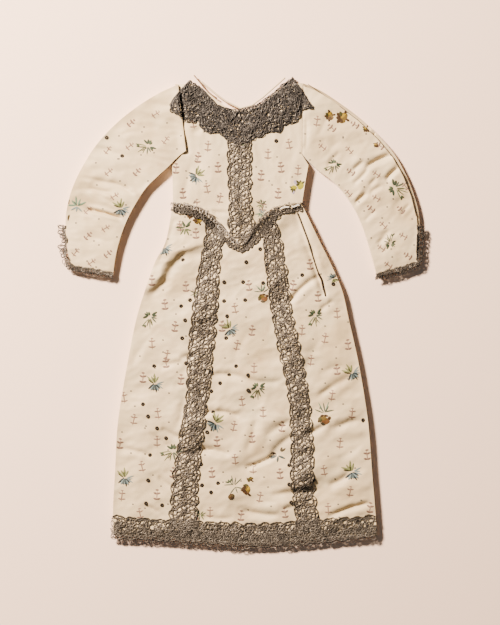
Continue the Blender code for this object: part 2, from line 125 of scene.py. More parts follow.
Rail = namedtuple("Rail", "share part cord lift layer finish")
Picots = namedtuple("Picots", "spacing root reach cord lift layer finishes", defaults=(2,))
Binding = namedtuple("Binding", "course radius finish")
Lamp = namedtuple("Lamp", "name place size power")


def rows_of(kind, *rows):
    """The rows of a table, their columns named by their kind."""
    return [kind(*row) for row in rows]



SHOULDER_LEFT, UNDERARM_LEFT = Flat(-64.0, 8.0), Flat(-56.0, 75.0)
SHOULDER_RIGHT, UNDERARM_RIGHT = Flat(61.0, 7.0), Flat(60.0, 78.0)
WAIST = Section(-69.0, 130.0, 59.5, 131.0, 43.0, 20.0, 1.3)
BACK_WAIST = WAIST._replace(dip=10.0, spread=35.0, power=2.0)

SKIRT_SECTIONS = rows_of(
    Section,
    WAIST, (-76, 164, 77, 164, 28, 24, 1.4), (-87, 186, 88, 186, 18, 32, 1.6),
    (-97, 214, 100, 214, 8, 45, 1.8), (-106, 244, 107, 244, 3, 60, 2), (-114, 284, 116, 284, 0, 80, 2),
    (-121, 324, 123, 324, 0, 80, 2), (-125, 354, 127, 354, 1, 90, 2), (-127, 394, 130, 394, 3, 90, 2),
    (-129, 429, 133, 429, 6, 90, 2), (-129, 458, 135, 459, 8, 90, 2),
)
SLEEVE_LEFT_SECTIONS = rows_of(
    Section,
    (*SHOULDER_LEFT, *UNDERARM_LEFT), (-82, 16, -64, 81), (-102, 28, -74, 91), (-124, 45, -85, 101),
    (-145, 67, -96, 112), (-161, 92, -104, 124), (-171, 114, -112, 138), (-176, 134, -119, 154),
    (-177, 152, -124, 170), (-175, 174, -127, 184), (-172, 190, -129, 199),
)
SLEEVE_RIGHT_SECTIONS = rows_of(
    Section,
    (*UNDERARM_RIGHT, *SHOULDER_RIGHT), (67, 86, 78, 14), (78, 96, 98, 27), (89, 104, 118, 42),
    (99, 114, 138, 61), (108, 126, 153, 79), (115, 138, 164, 99), (121, 152, 172, 119),
    (126, 167, 177, 139), (130, 181, 178, 162), (135, 200, 177, 186),
)
TOP_SLEEVE_INSET = {"left": 0.6, "right": 3.0}
BACK_NECK = rows_of(
    Flat,
    (-48, 0), (-41, 5), (-27, 17), (-16, 25), (-2, 32), (10, 29), (21, 21), (38, 6), (43, 1.5),
    (50, 2.5),
)

CENTRE_LACE = rows_of(
    Band,
    (-14, 61, 9, 61), (-15, 89, 10, 89), (-14, 124, 9, 124), (-14, 152, 13, 152), (-10, 167, 13, 167),
)
SKIRT_LACE_LEFT = rows_of(
    Band,
    (-37, 143, -19, 149), (-37, 158, -17, 158), (-42, 184, -22, 184), (-49, 224, -24, 224),
    (-55, 284, -29, 284), (-57, 324, -34, 324), (-64, 364, -39, 364), (-70, 404, -43, 404),
    (-73, 440, -44, 440), (-73, 456, -42, 457),
)
SKIRT_LACE_RIGHT = rows_of(
    Band,
    (18, 152, 34, 146), (20, 164, 40, 164), (24, 204, 46, 204), (30, 244, 52, 244), (38, 284, 61, 284),
    (46, 324, 67, 324), (48, 364, 71, 364), (48, 404, 72, 404), (53, 440, 76, 440), (54, 457, 79, 456),
)
HEM_LACE = rows_of(
    Band,
    (-131, 462, -130, 438), (-92, 464, -92, 442), (-42, 467, -42, 444.5), (-7, 469.8, -7, 446),
    (18, 470.6, 18, 447), (58, 468.6, 58, 444), (108, 463.5, 108, 440), (134.2, 460.5, 134.2, 438),
)
WAIST_LACE = rows_of(
    Band,
    (-71, 136, -71, 127), (-57, 138, -56, 128), (-47, 141, -44, 131), (-37, 147, -32, 138),
    (-27, 157, -21, 149), (-17, 168, -11, 160), (-8, 175, -4, 167), (1, 177.5, 0, 169),
    (10, 172, 5, 164), (19.5, 162.5, 10, 153.5), (28.5, 152, 19, 141), (37, 141, 33, 132),
    (49, 137, 47, 128), (61, 136, 60, 126),
)
COLLAR_LACE = rows_of(
    Band,
    (-64, 17, -52, 4), (-71, 28, -51, 5), (-72, 34.5, -49, 6), (-67, 38, -46, 7), (-61, 42, -44, 9),
    (-55, 46, -41, 11), (-48, 46, -38, 14), (-44, 45, -36, 17), (-42, 51, -34, 20), (-37, 56, -32, 22),
    (-31, 58, -29, 25), (-25, 56, -26, 28), (-20, 59, -23, 30), (-14, 65, -18, 32), (-6, 68, -11, 33),
    (2, 68, -4, 33), (9, 65, 2, 32), (14, 62, 7, 31), (20, 61, 12, 29), (25, 57, 17, 27),
    (33, 56, 22, 24), (39, 55, 25, 21), (42, 50, 28, 19), (49, 48, 32, 16), (56, 44, 36, 12),
    (59, 37, 39, 9), (61, 34, 42, 7), (67, 33, 45, 5), (71, 32, 46, 4), (64, 22, 49, 3), (58, 14, 51, 1),
)
CUFF_LACE_LEFT = rows_of(
    Band,
    (-181, 184, -174, 181), (-176, 193, -171, 186), (-166, 197.6, -163, 190.4),
    (-148, 199.8, -147, 192.8), (-129.5, 202.8, -128, 196.5),
)
CUFF_LACE_RIGHT = rows_of(
    Band,
    (134.5, 205.5, 133, 197.5), (157, 200.5, 155, 190.5), (179.5, 191.5, 177.5, 184),
)
SLIT_LACE_LEFT = rows_of(
    Band,
    (-187, 148, -176, 150), (-186, 158, -176.5, 157), (-181, 164, -175, 163), (-185, 172, -175.5, 172),
    (-184, 184, -175, 181),
)
SLIT_LACE_RIGHT = rows_of(
    Band,
    (175, 150, 182, 148), (174.5, 160, 186, 162), (174.5, 170, 182, 172), (174, 184, 183, 188),
)

# The broad folds, close to those in the solids.
FOLDS = {
    "skirt_front": rows_of(
        Fold,
        (-42, 168, -64, 170, 1.1, 6), (-64, 170, -78, 182, 1.1, 6), (-78, 182, -84, 199, 1.1, 6),
        (-84, 199, -95, 212, 1.1, 6), (-40, 178, -60, 181, -1.4, 5.5), (-60, 181, -72, 192, -1.4, 5.5),
        (-72, 192, -79, 206, -1.4, 5.5), (-79, 206, -90, 217, -1.4, 5.5), (55, 140, 68, 174, -1.3, 4.5),
        (68, 174, 82, 216, -1.3, 4.5), (66, 148, 80, 184, 0.9, 6), (80, 184, 92, 216, 0.9, 6),
        (-2, 392, 36, 377, -0.9, 6), (36, 377, 74, 355, -1.3, 6), (-6, 384, 34, 370, 0.8, 7),
        (28, 420, 73, 414, -0.6, 6), (73, 414, 108, 399, -0.6, 6), (36, 412, 92, 404, 0.3, 7),
        (-35, 337, -4, 340, -0.9, 5), (-40, 374, -12, 375, -0.9, 5), (-120, 372, -92, 379, -0.8, 5),
        (-54, 304, -63, 336, 0.9, 7), (-28, 300, 10, 303, -0.7, 5), (-82, 288, -56, 290, -0.8, 5),
        (93, 351, 115, 345, -0.8, 5), (8, 436, 36, 439, -0.8, 5),
    ),
    "sleeve_top_left": rows_of(
        Fold,
        (-154, 134, -124, 141, -1.1, 4.5), (-159, 109, -112, 114, -0.9, 5),
        (-150, 122, -118, 128, 0.8, 6),
    ),
    "sleeve_top_right": rows_of(
        Fold,
        (110, 94, 146, 80, -1.1, 4.5), (145, 102, 156, 91, -0.9, 4.5), (111, 127, 127, 113, -0.9, 4.5),
        (118, 104, 146, 92, 0.8, 6),
    ),
}

# The sharper creases of the silk. Bow is how far a crease bends to its side.
CREASES = {
    "skirt_front": rows_of(
        Crease,
        (68, 173, 84, 221, -1, 1.6, 2.2), (47, 227, 77, 200, 2.5, 2.3, 2.4),
        (78, 235, 92, 225, 1, 1.4, 2.4), (76, 298, 104, 289, 1, 0.9, 3),
        (77, 321, 112, 300, 2, 1.5, 2.8), (-82, 291, -58, 286, 1, 1.5, 2.2),
        (-63, 282, -44, 279, 0, 1.8, 2.8), (-30, 299, 2, 301, 1.5, 1.8, 2.3),
        (0, 301, 42, 304, -4, 1.7, 2.5), (-38, 337, -3, 341, 3, 2.2, 2.6),
        (-81, 352, -58, 363, -1, 1.7, 2.6), (-93, 356, -72, 372, 0, 1, 2),
        (-121, 373, -90, 381, 1.5, 1.6, 1.9), (-84, 400, -67, 412, -1.5, 1.7, 2.2),
        (-97, 429, -82, 437, 0, 1.2, 1.8), (-44, 373, -12, 380, 2, 2.4, 2.6),
        (-38, 410, -22, 415, 0, 0.8, 2.4), (4, 376, 14, 340, -2, 1.7, 3.4),
        (2, 392, 36, 377, -2, 2.2, 1.8), (28, 378, 54, 358, 1.5, 1.8, 3), (22, 362, 50, 343, 1, 1.6, 4),
        (60, 358, 86, 347, -2, 2, 2.6), (92, 353, 117, 344, 1.5, 1.5, 3.2),
        (28, 420, 76, 415, 1, 1.5, 2.4), (86, 410, 108, 397, -1.8, 2.3, 3),
        (-57, 312, -66, 356, 1.5, 1.5, 4.4), (-66, 378, -40, 375, 0, 1.3, 3),
        (74, 322, 92, 311, 1, 1, 2.6), (-50, 262, -58, 300, 0, 0.8, 4), (62, 300, 78, 262, 1, 0.8, 4.6),
        (96, 384, 118, 372, 1, 1, 3), (84, 442, 130, 427, 2, 2.8, 2.3), (0, 434, 37, 439, -2, 2.2, 2.5),
        (18, 424, 34, 427, 0, 0.9, 1.8), (40, 433, 52, 431, 0, 1.2, 1.9),
        (-40, 440, -8, 441, -2, 1.6, 2.6), (-66, 138, -92, 205, 1.5, 0.8, 2.6),
        (-110, 292, -92, 262, 3, 1, 4), (-8, 285, 10, 252, 2, 0.9, 4.4),
    ),
    "bodice_front": rows_of(
        Crease,
        (-52, 88, -60, 126, 1, 0.8, 3.6), (30, 92, 50, 126, 1, 0.8, 3.6), (-40, 53, -50, 57, 0, 1, 2.8),
        (-36, 136.5, -13, 137.5, 0.6, 1.7, 1.4),
    ),
    "sleeve_top_left": rows_of(
        Crease,
        (-156, 133, -120, 143, 1, 3.4, 1.2), (-152, 107, -111, 115, 4, 1.9, 3.6),
        (-168, 113, -128, 118, 1.5, 1, 2.2), (-148, 73, -112, 83, 1, 1.1, 3),
        (-95, 27, -68, 30, 0, 0.8, 3.6), (-150, 90, -118, 96, -2, 0.9, 3.2),
        (-162, 160, -128, 168, 1.5, 0.7, 3.6), (-162, 101, -128, 110, 1, 0.9, 1.5),
        (-154, 112, -131, 116, -0.6, 0.8, 1.4), (-136, 105, -108, 119, 1.6, 1, 1.5),
        (-156, 70, -130, 75, 0.6, 0.8, 1.7), (-146, 118, -126, 130, 0.8, 0.7, 1.5),
        (-164, 82, -140, 86, 0.5, 0.6, 1.8), (-120, 58, -98, 56, 0.8, 0.6, 2),
    ),
    "sleeve_top_right": rows_of(
        Crease,
        (111, 108, 126, 93, -1, 1.3, 1.7), (84, 92, 98, 76, 0.8, 0.8, 2), (76, 60, 92, 34, 1, 0.7, 2.6),
        (158, 140, 168, 128, 0.5, 1, 1.6), (122, 146, 134, 134, 0.6, 0.8, 1.8),
        (111, 95, 122, 85, 0.5, 1.7, 1.9), (123, 93, 150, 79, 2, 2.3, 2),
        (144, 105, 158, 91, 1.5, 2.3, 2), (112, 128, 125, 117, 0, 2.1, 1.9),
        (128, 117, 140, 110, 0.5, 1.1, 1.8), (127, 110, 135, 101, 0, 1.1, 1.8),
        (86, 74, 104, 64, 1, 1, 3), (136, 170, 148, 154, 1, 1.2, 2.6), (64, 40, 63, 76, 1, 0.9, 2.2),
        (150, 132, 168, 120, 1.5, 0.8, 3.2),
    ),
}

# Where the silk overlaps itself: it is high on the left of each course, walked from start to end.
SKIRT_FLAPS = [
    Flap(1.7, 12.0, rows_of(
        Flat,
        (-97, 216), (-88, 213), (-80, 206), (-75, 196), (-69, 185), (-58, 176), (-43, 170.5), (-27, 168),
    )),
    Flap(1.5, 7.0, rows_of(Flat, (54, 132), (61, 154), (67, 174), (75, 196), (81, 212), (85, 228))),
]

# The small woven figures, by how far their cloth's grain is turned: upright, left sleeve, right sleeve.
FIGURES = [
    Grain(0.0, rows_of(
        Figure,
        ("wide", -90, 205), ("wide", -77, 229), ("wide", -67, 251), ("wide", -56, 211),
        ("tall", -90, 267), ("tall", -75, 279), ("wide", -76, 287), ("wide", -99, 302),
        ("wide", -61, 304), ("tall", -7, 232), ("tall", -5, 269), ("wide", -20, 251),
        ("tall", -118, 321), ("tall", -108, 343), ("tall", -84, 337), ("tall", -85, 365),
        ("wide", -122, 368), ("tall", -100, 390), ("tall", -120, 419), ("wide", -85, 419),
        ("tall", -102, 437), ("wide", -69, 397), ("wide", -25, 366), ("tall", -7, 383),
        ("tall", -8, 350), ("wide", -30, 397), ("tall", -32, 436), ("wide", -1, 440), ("wide", 7, 210),
        ("wide", 10, 255), ("tall", 12, 292), ("wide", 68, 189), ("wide", 51, 210), ("wide", 76, 221),
        ("tall", 95, 237), ("tall", 83, 262), ("wide", 106, 269), ("tall", 60, 254), ("tall", 69, 284),
        ("wide", 95, 294), ("tall", 90, 319), ("tall", 21, 336), ("wide", 10, 362), ("wide", 40, 351),
        ("wide", 38, 398), ("tall", 11, 392), ("tall", 18, 421), ("wide", 43, 437), ("tall", 110, 337),
        ("tall", 98, 367), ("tall", 82, 394), ("tall", 108, 415), ("tall", 86, 432), ("wide", 125, 379),
        ("wide", 128, 432), ("tall", 0, 325),
    )),
    Grain(-48.0, rows_of(
        Figure,
        ("wide", -111, 47), ("tall", -86, 38), ("tall", -134, 74), ("tall", -112, 70),
        ("tall", -133, 96), ("wide", -105, 96), ("tall", -127, 120), ("tall", -154, 134),
        ("wide", -154, 160), ("tall", -136, 152), ("tall", -166, 176), ("wide", -134, 178),
        ("tall", -150, 186), ("tall", -76, 64),
    )),
    Grain(0.0, rows_of(
        Figure,
        ("tall", 75, 45),
    )),
    Grain(52.0, rows_of(
        Figure,
        ("tall", 80, 71), ("wide", 113, 49), ("tall", 107, 74), ("wide", 109, 96), ("tall", 134, 98),
        ("tall", 106, 117), ("tall", 134, 122), ("wide", 129, 133), ("tall", 141, 149),
        ("tall", 161, 160), ("wide", 159, 134), ("tall", 139, 172), ("wide", 166, 180),
        ("tall", 163, 110), ("wide", 138, 70), ("tall", 146, 189), ("wide", 90, 52),
    )),
    Grain(0.0, rows_of(
        Figure,
        ("tall", -49, 47), ("wide", -66, 93), ("tall", -34, 70), ("tall", -35, 112), ("wide", -44, 82),
        ("tall", -45, 128), ("wide", -24, 92), ("tall", -22, 122), ("wide", -59, 118), ("tall", 26, 78),
        ("wide", 19, 100), ("tall", 47, 68), ("wide", 36, 118), ("tall", 56, 94), ("wide", 39, 92),
        ("tall", 21, 130), ("tall", -62, 150), ("wide", -46, 158),
    )),
]
FIGURE_STROKES = {
    "tall": [
        Stroke("brick", 0, -0.6, 11.4, 1.2, 90),
        Stroke("brick", -1.6, 1.8, 3.8, 1.4, 166), Stroke("brick", 1.6, 1.8, 3.8, 1.4, 14),
        Stroke("brick", -1.7, -4, 4, 1.5, 168), Stroke("brick", 1.7, -4, 4, 1.5, 12),
        Stroke("brick_pale", 0, 4.7, 2.8, 1.2, 0),
    ],
    "wide": [
        Stroke("brick_pale", 0, -0.4, 9, 1.1, 90),
        Stroke("brick_deep", -1.6, 1.7, 4, 2, 160), Stroke("brick_deep", 1.6, 1.7, 4, 2, 20),
        Stroke("brick_deep", -1.6, -3.8, 4, 2.1, 162), Stroke("brick_deep", 1.6, -3.8, 4, 2.1, 18),
        Stroke("brick", 0, 5.1, 3.4, 1.9, 0),
    ],
    "dot": [Stroke("grey", 0, 0, 1.8, 1.6, 0)],
}
DOT_OFFSETS = [Flat(11, 9), Flat(-12, 13)]
SLEEVE_FIGURE_SIZE = 0.84

# The coloured sprigs, as fans of strokes that spread from a point, and where they lie.
SPRIG_FANS = {
    "leafy": [
        Fan("leaf_pale", -0.5, -0.8, -132, -64, 4, 10, 1), Fan("stem", 0.6, -1, -118, -84, 2, 8, 0.9),
        Fan("leaf_grey", 0.6, 0, -42, -10, 2, 7, 1.4),
        Fan("leaf_dark", -1.4, 1.2, 198, 150, 2, 5.4, 2.1), Fan("leaf_dark", 1.6, 1.4, 38, 2, 2, 5.8, 2),
        Fan("leaf_mid", -0.6, 1.6, 128, 96, 2, 4.4, 1.8),
        Fan("leaf_mid", -4.4, -7.4, -156, -112, 2, 3.6, 1.4),
    ],
    "blue": [
        Fan("blue_pale", 1, 0, -32, 16, 3, 7.4, 1.4), Fan("yellow_pale", -0.4, 0.6, 140, 62, 4, 9, 1.9),
        Fan("olive", -0.6, 0.8, 152, 92, 2, 6.4, 1.5), Fan("blue_pale", 0, 0, -128, -60, 3, 6.6, 2.2),
        Fan("blue_dark", 0, 0.4, -146, -44, 4, 7.6, 1.7),
        Fan("blue_grey", 0, -0.4, -112, -84, 2, 5.2, 1.5),
    ],
    "green": [
        Fan("leaf_pale", 0, -0.4, -150, -44, 4, 6.6, 1.5), Fan("leaf_mid", 0, 0, 156, 30, 3, 7.6, 1.8),
        Fan("leaf_dark", 0.6, 0.4, 96, 14, 2, 5.6, 1.6), Fan("brick", -2, 2, 160, 112, 2, 4.6, 1.2),
    ],
    "faint": [
        Fan("leaf_faint", 0, 0, 165, 15, 5, 8, 1.7), Fan("blue_pale", 0, 0, -150, -60, 3, 6, 1.5),
        Fan("leaf_grey", 0.4, 0, 120, 30, 2, 4.6, 1.2),
    ],
    "bloom": [
        Stroke("gold", 0.6, 0, 7, 5.8, 30), Stroke("gold", -1, -1.8, 5, 4, -40),
        Stroke("yellow", 1.4, 0.6, 4.4, 3.4, 20), Fan("brown", -0.8, 0, 110, 260, 4, 3.8, 2.3),
        Stroke("brown", 3.4, 2.6, 2.6, 1.7, 60), Stroke("brown", 2.8, -2.8, 2.6, 1.7, -50),
        Stroke("moss", 0, 2.6, 3.2, 2.2, 80),
    ],
    "lemon": [
        Stroke("lilac", -4, 2.4, 4.2, 3.4, 130), Stroke("lemon", 0.4, -0.4, 7.4, 6.2, 70),
        Fan("moss", 0, 0.6, 30, 190, 4, 4.4, 2.2),
    ],
    "edge": [
        Stroke("brown", 0, 0, 6, 1.9, 94), Stroke("moss", 0.8, 1.4, 4, 1.4, 80),
    ],
    # A blue sprig painted in greys and browns: the painted shade of the crease it lies in.
    "dusk": [
        Fan("grey", 0, 0, 200, 150, 2, 6.4, 2), Fan("blue_grey", 0.6, -0.6, -160, -20, 3, 6.4, 1.9),
        Fan("stem", 3, 3, 30, 70, 2, 5, 1.8), Stroke("brown", -3.4, 1.6, 4.6, 1.4, 10),
    ],
    "rose": [
        Fan("leaf_faint", 2, 4.4, 124, 64, 3, 9.2, 1.1), Fan("leaf_grey", 2, 4, 164, 20, 5, 8, 1.2),
        Stroke("orange", 3.2, -3.6, 7, 6, 10), Stroke("gold", 1.6, -1.2, 5.4, 4.2, -20),
        Stroke("moss", -1.8, -2, 4.8, 4, 80), Stroke("brown", -2.6, -3, 3.6, 2.2, 60),
        Stroke("brown", -0.2, 1.2, 3.4, 2, 20), Stroke("brown", 3.4, 1.4, 3.8, 1.9, -10),
        Stroke("brown", 6.4, -0.8, 3.4, 2.6, 60), Stroke("stem", 0.6, -6, 4.6, 2.2, -20),
    ],
    "roses": [
        Fan("leaf_grey", -6, 2, 176, 40, 5, 8.8, 1.2), Fan("leaf_grey", -5, 1, -120, -20, 3, 8, 1.1),
        Fan("leaf_mid", -10.6, 4.6, 170, 60, 3, 3.8, 1.6), Stroke("gold", 6.4, -2.4, 9, 7.6, 70),
        Stroke("yellow", 7.8, -1.6, 5.2, 4, 60), Stroke("orange", 5.6, -5.4, 5.4, 3.4, -10),
        Fan("brown", 5.6, -2.2, 110, 270, 5, 4.6, 2.7), Stroke("brown", 8.6, -7, 3.8, 2.3, -30),
        Stroke("moss", 6, 2, 4, 2.6, 10), Stroke("moss", 9.4, 8, 5.8, 2.8, 50),
        Stroke("brown", 7.8, 7.4, 4.6, 1.7, 110), Stroke("gold", 11, 8.8, 3.8, 2.1, 20),
        Stroke("brown", 11.4, 6.8, 3.2, 1.5, -20), Stroke("brown", -9, -9, 6.6, 5, 30),
        Stroke("gold", -9.8, -9, 3.6, 2.3, 40), Stroke("moss", -7.2, -8, 3.2, 1.9, 60),
    ],
}
SPRIGS = rows_of(
    Sprig,
    ("leafy", -92, 241, 0, 1), ("leafy", 73, 239, 6, 1), ("leafy", 16, 312, 0, 1),
    ("leafy", -94, 70, -60, 1), ("leafy", 153, 112, 70, 1.1), ("leafy", -69, 375, -42, 1.1),
    ("leafy", 92, 89, -30, 0.9), ("leafy", 148, 167, 200, 0.8), ("blue", -78, 172, 10, 1),
    ("blue", -12, 253, 20, 1), ("blue", -87, 308, 0, 1), ("blue", -27, 347, -46, 1.1),
    ("blue", -117, 402, 0, 1), ("blue", 110, 396, 14, 1.1), ("blue", 110, 297, 30, 1),
    ("blue", -121, 133, 0, 1), ("blue", -46, 100, -60, 1), ("blue", 91, 202, 190, 0.7),
    ("dusk", 35, 379, 0, 1.1), ("faint", -165, 130, 8, 1.1), ("faint", 19, 137, 180, 0.7),
    ("green", -57, 152, 20, 1.1), ("green", -42, 439, 100, 0.8), ("green", 2, 67, 0, 0.8),
    ("green", -47, 217, 0, 0.7), ("roses", -2, 411, 0, 1), ("rose", 80, 341, 0, 1.1),
    ("rose", 19, 220, 8, 0.9), ("lemon", 58, 109, 0, 1.1), ("lemon", 51.5, 112.5, 120, 0.85),
    ("green", 19, 128, 0, 0.7), ("bloom", 87.5, 40, 60, 1.15), ("bloom", 100, 41.5, 20, 1.5),
    ("bloom", 124, 53, 110, 0.8), ("bloom", 134, 69, 110, 0.6), ("edge", -173.4, 126, 0, 0.7),
    ("edge", -173.6, 142, 0, 1), ("bloom", -44, 144, -20, 1.1), ("bloom", -52, 139, 60, 0.9),
)

# Spangles sewn on singly: those near the lace strips, then the strays.
SPANGLES = rows_of(
    Flat,
    (-59, 184), (-18, 206), (1, 206), (21, 207), (-18, 225), (3, 224), (-61, 230), (-52, 224),
    (-15, 240), (-57, 244), (-60, 262), (-16, 262), (4, 186), (-88, 290), (-56, 287), (-6, 290),
    (-13, 299), (6, 299), (-22, 307), (6, 314), (-31, 296), (-31, 315), (-99, 328), (-94, 340),
    (-85, 352), (-76, 362), (-29, 336), (-35, 356), (-92, 379), (-94, 404), (-96, 427), (-80, 429),
    (-40, 409), (-24, 407), (-31, 416), (-41, 388), (60, 199), (91, 208), (121, 344), (76, 442),
    (34, 65), (-135.5, 61.5), (-120, 80), (49, 426), (18, 173), (47, 408), (47, 389), (72, 404),
    (58, 439),
)


def linear(red, green, blue):
    """A colour given as it looks on screen, from 0 to 255, as linear light."""
    return tuple(((value / 255 + 0.055) / 1.055) ** 2.4 if value > 10 else value / 255 / 12.92
                 for value in (red, green, blue))


FLOSS = {
    "brick": linear(118, 94, 80), "brick_deep": linear(106, 84, 72), "brick_pale": linear(132, 108, 94),
    "grey": linear(84, 82, 76), "leaf_dark": linear(44, 58, 42), "leaf_mid": linear(64, 78, 56),
    "leaf_grey": linear(68, 80, 66), "leaf_pale": linear(80, 92, 60), "leaf_faint": linear(100, 124, 102),
    "olive": linear(48, 48, 20), "moss": linear(56, 56, 24), "lemon": linear(140, 136, 16),
    "yellow_pale": linear(110, 116, 74), "yellow": linear(144, 120, 22), "gold": linear(92, 74, 26),
    "orange": linear(96, 64, 34), "brown": linear(52, 34, 12), "stem": linear(68, 60, 44),
    "blue_dark": linear(24, 36, 42), "blue_grey": linear(58, 70, 70), "blue_pale": linear(104, 120, 120),
    "lilac": linear(154, 142, 158),
}


class GownSettings(bpy.types.PropertyGroup):
    """Sizes and colours of the gown that a user would change."""

    cloth_cell: bpy.props.FloatProperty(
        name="Cloth cell", description="Spacing of the points of the silk's mesh",
        default=0.00145, min=0.001, max=0.01, unit="LENGTH")
    pucker_height: bpy.props.FloatProperty(
        name="Pucker height", description="Height of the soft puckers all over the silk",
        default=0.00042, min=0.0, max=0.002, unit="LENGTH")
    silk_colour: bpy.props.FloatVectorProperty(
        name="Silk", description="Ground colour of the silk",
        default=linear(211, 193, 156), subtype="COLOR", min=0.0, max=1.0)
    silk_aged_colour: bpy.props.FloatVectorProperty(
        name="Aged silk", description="Colour of the silk where it has yellowed",
        default=linear(184, 164, 124), subtype="COLOR", min=0.0, max=1.0)
    lace_dark_colour: bpy.props.FloatVectorProperty(
        name="Tarnish", description="Colour of the lace where it is most tarnished",
        default=linear(74, 69, 62), subtype="COLOR", min=0.0, max=1.0)
    lace_light_colour: bpy.props.FloatVectorProperty(
        name="Metal", description="Colour of the lace where its metal still shows",
        default=linear(142, 134, 122), subtype="COLOR", min=0.0, max=1.0)
    thread_radius: bpy.props.FloatProperty(
        name="Gimp radius", description="Radius of the lace's thick outlining cords",
        default=0.00050, min=0.0001, max=0.002, unit="LENGTH")
    spangle_diameter: bpy.props.FloatProperty(
        name="Spangle diameter", description="Diameter of each sewn spangle",
        default=0.0040, min=0.001, max=0.01, unit="LENGTH")
    floor_colour: bpy.props.FloatVectorProperty(
        name="Floor", description="Colour of the plain pale floor",
        default=linear(243, 218, 198), subtype="COLOR", min=0.0, max=1.0)


def settings():
    """The gown's settings in this scene."""
    return bpy.context.scene.gown_settings


def activate(item):
    """Select one object alone and make it the active one."""
    bpy.ops.object.select_all(action="DESELECT")
    item.select_set(True)
    bpy.context.view_layer.objects.active = item
    return item


def fit_out(item, slot, *nodes):
    """Put a finished piece on the gown: its body, and the solids it stands for, which it hides; its slot is
    not used.
    """
    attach(item, "root")
    if nodes:
        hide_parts(*nodes)
    return item


def placed(points, heights):
    """Points of the tables with their heights, as metres in the gown's frame."""
    points = np.asarray(points, float).reshape(-1, 2)
    heights = np.broadcast_to(np.asarray(heights, float).reshape(-1), len(points))
    return np.column_stack([(points[:, 0] + CENTRE_OFFSET) * MM, (FULL_LENGTH / 2 - points[:, 1]) * MM,
                            heights * MM])


def read_rows(rows, places, smooth=True):
    """Values of a table at places between its rows, on a curve or on straight lines."""
    table = np.array(rows, float)
    places = np.atleast_1d(np.asarray(places, float))
    index = np.clip(places.astype(int), 0, len(table) - 2)
    share = (places - index)[:, None]
    start, end = table[index], table[index + 1]
    if not smooth:
        return start + (end - start) * share
    before, after = table[np.maximum(index - 1, 0)], table[np.minimum(index + 2, len(table) - 1)]
    leave, arrive = (end - before) / 2, (after - start) / 2
    return (start * (2 * share**3 - 3 * share**2 + 1) + leave * (share**3 - 2 * share**2 + share)
            + end * (3 * share**2 - 2 * share**3) + arrive * (share**3 - share**2))


def section_points(rows, shares):
    """Points on sections: a line of them for each row, at shares from its left edge to its right one."""
    section = Section(*(column[:, None] for column in rows.T))
    across = section.left_across + (section.right_across - section.left_across) * shares
    down = section.left_down + (section.right_down - section.left_down) * shares
    bell = np.exp(-(np.abs(across) / section.spread) ** section.power)
    return np.stack([across, down + section.dip * bell], axis=-1)


def panel_points(sections, columns, rows, smooth):
    """A grid of points over a panel, from its top section to its bottom one."""
    places = np.linspace(0.0, len(sections) - 1, rows + 1)
    places[-2] = places[-1] - (places[-1] - places[-2]) * EDGE_STEP
    shares = np.linspace(0.0, 1.0, columns + 1)
    shares[1], shares[-2] = shares[1] * EDGE_STEP, 1.0 - shares[1] * EDGE_STEP
    return section_points(read_rows(sections, places, smooth), shares)


def edge_line(sections, share, smooth=True, steps=4):
    """The line that a panel's points at one share make."""
    places = np.linspace(0.0, len(sections) - 1, (len(sections) - 1) * steps + 1)
    return section_points(read_rows(sections, places, smooth), np.array([share]))[:, 0]


def cross_line(section, points=24):
    """One section across its panel, as a line of points."""
    return section_points(np.array([section], float), np.linspace(0.0, 1.0, points + 1))[0]


def line_distance(points, line):
    """The shortest distance from each point to a line."""
    best = np.full(len(points), np.inf)
    for start, end in zip(line[:-1], line[1:]):
        run = end - start
        share = np.clip((points - start) @ run / (run @ run), 0.0, 1.0)
        best = np.minimum(best, np.hypot(*(points - start - share[:, None] * run).T))
    return best


def armhole_section(fraction, dip, spread, power, tuck=0.0):
    """A bodice section whose ends lie on the armhole seams, or tucked under the left sleeve."""
    ends = []
    for shoulder, underarm, reach in ((SHOULDER_LEFT, UNDERARM_LEFT, SEAM - tuck),
                                      (SHOULDER_RIGHT, UNDERARM_RIGHT, -SEAM)):
        ends += [shoulder.across + (underarm.across - shoulder.across) * fraction + reach,
                 shoulder.down + (underarm.down - shoulder.down) * fraction]
    return Section(*ends, dip, spread, power)


def bodice_sections(tuck, waist):
    """The bodice's sections, from the shoulders to a waistline."""
    return [
        armhole_section(0.0, 27.0, 33.0, 2.6, tuck),
        armhole_section(0.38, 12.0, 34.0, 2.6, tuck),
        armhole_section(0.74, 3.0, 34.0, 2.2, tuck),
        armhole_section(1.0, 3.0, 30.0, 1.9, tuck * 0.3),
        Section(-70.0, 90.0, 66.5, 89.0, 8.0, 26.0, 1.6),
        Section(-69.5, 108.0, 63.5, 105.0, 22.0, 22.0, 1.4),
        waist,
    ]


def inset(sections, side, amount):
    """The same sections with their left or right edge moved in by an amount."""
    moved = []
    for row in sections:
        run = np.array([row.right_across - row.left_across, row.right_down - row.left_down])
        step = run / np.hypot(*run) * amount
        if side == "left":
            across, down = row.left_across + step[0], row.left_down + step[1]
            moved.append(row._replace(left_across=across, left_down=down))
        else:
            across, down = row.right_across - step[0], row.right_down - step[1]
            moved.append(row._replace(right_across=across, right_down=down))
    return moved


def lowered(section, amount):
    """A section moved down by an amount."""
    return section._replace(left_down=section.left_down + amount, right_down=section.right_down + amount)


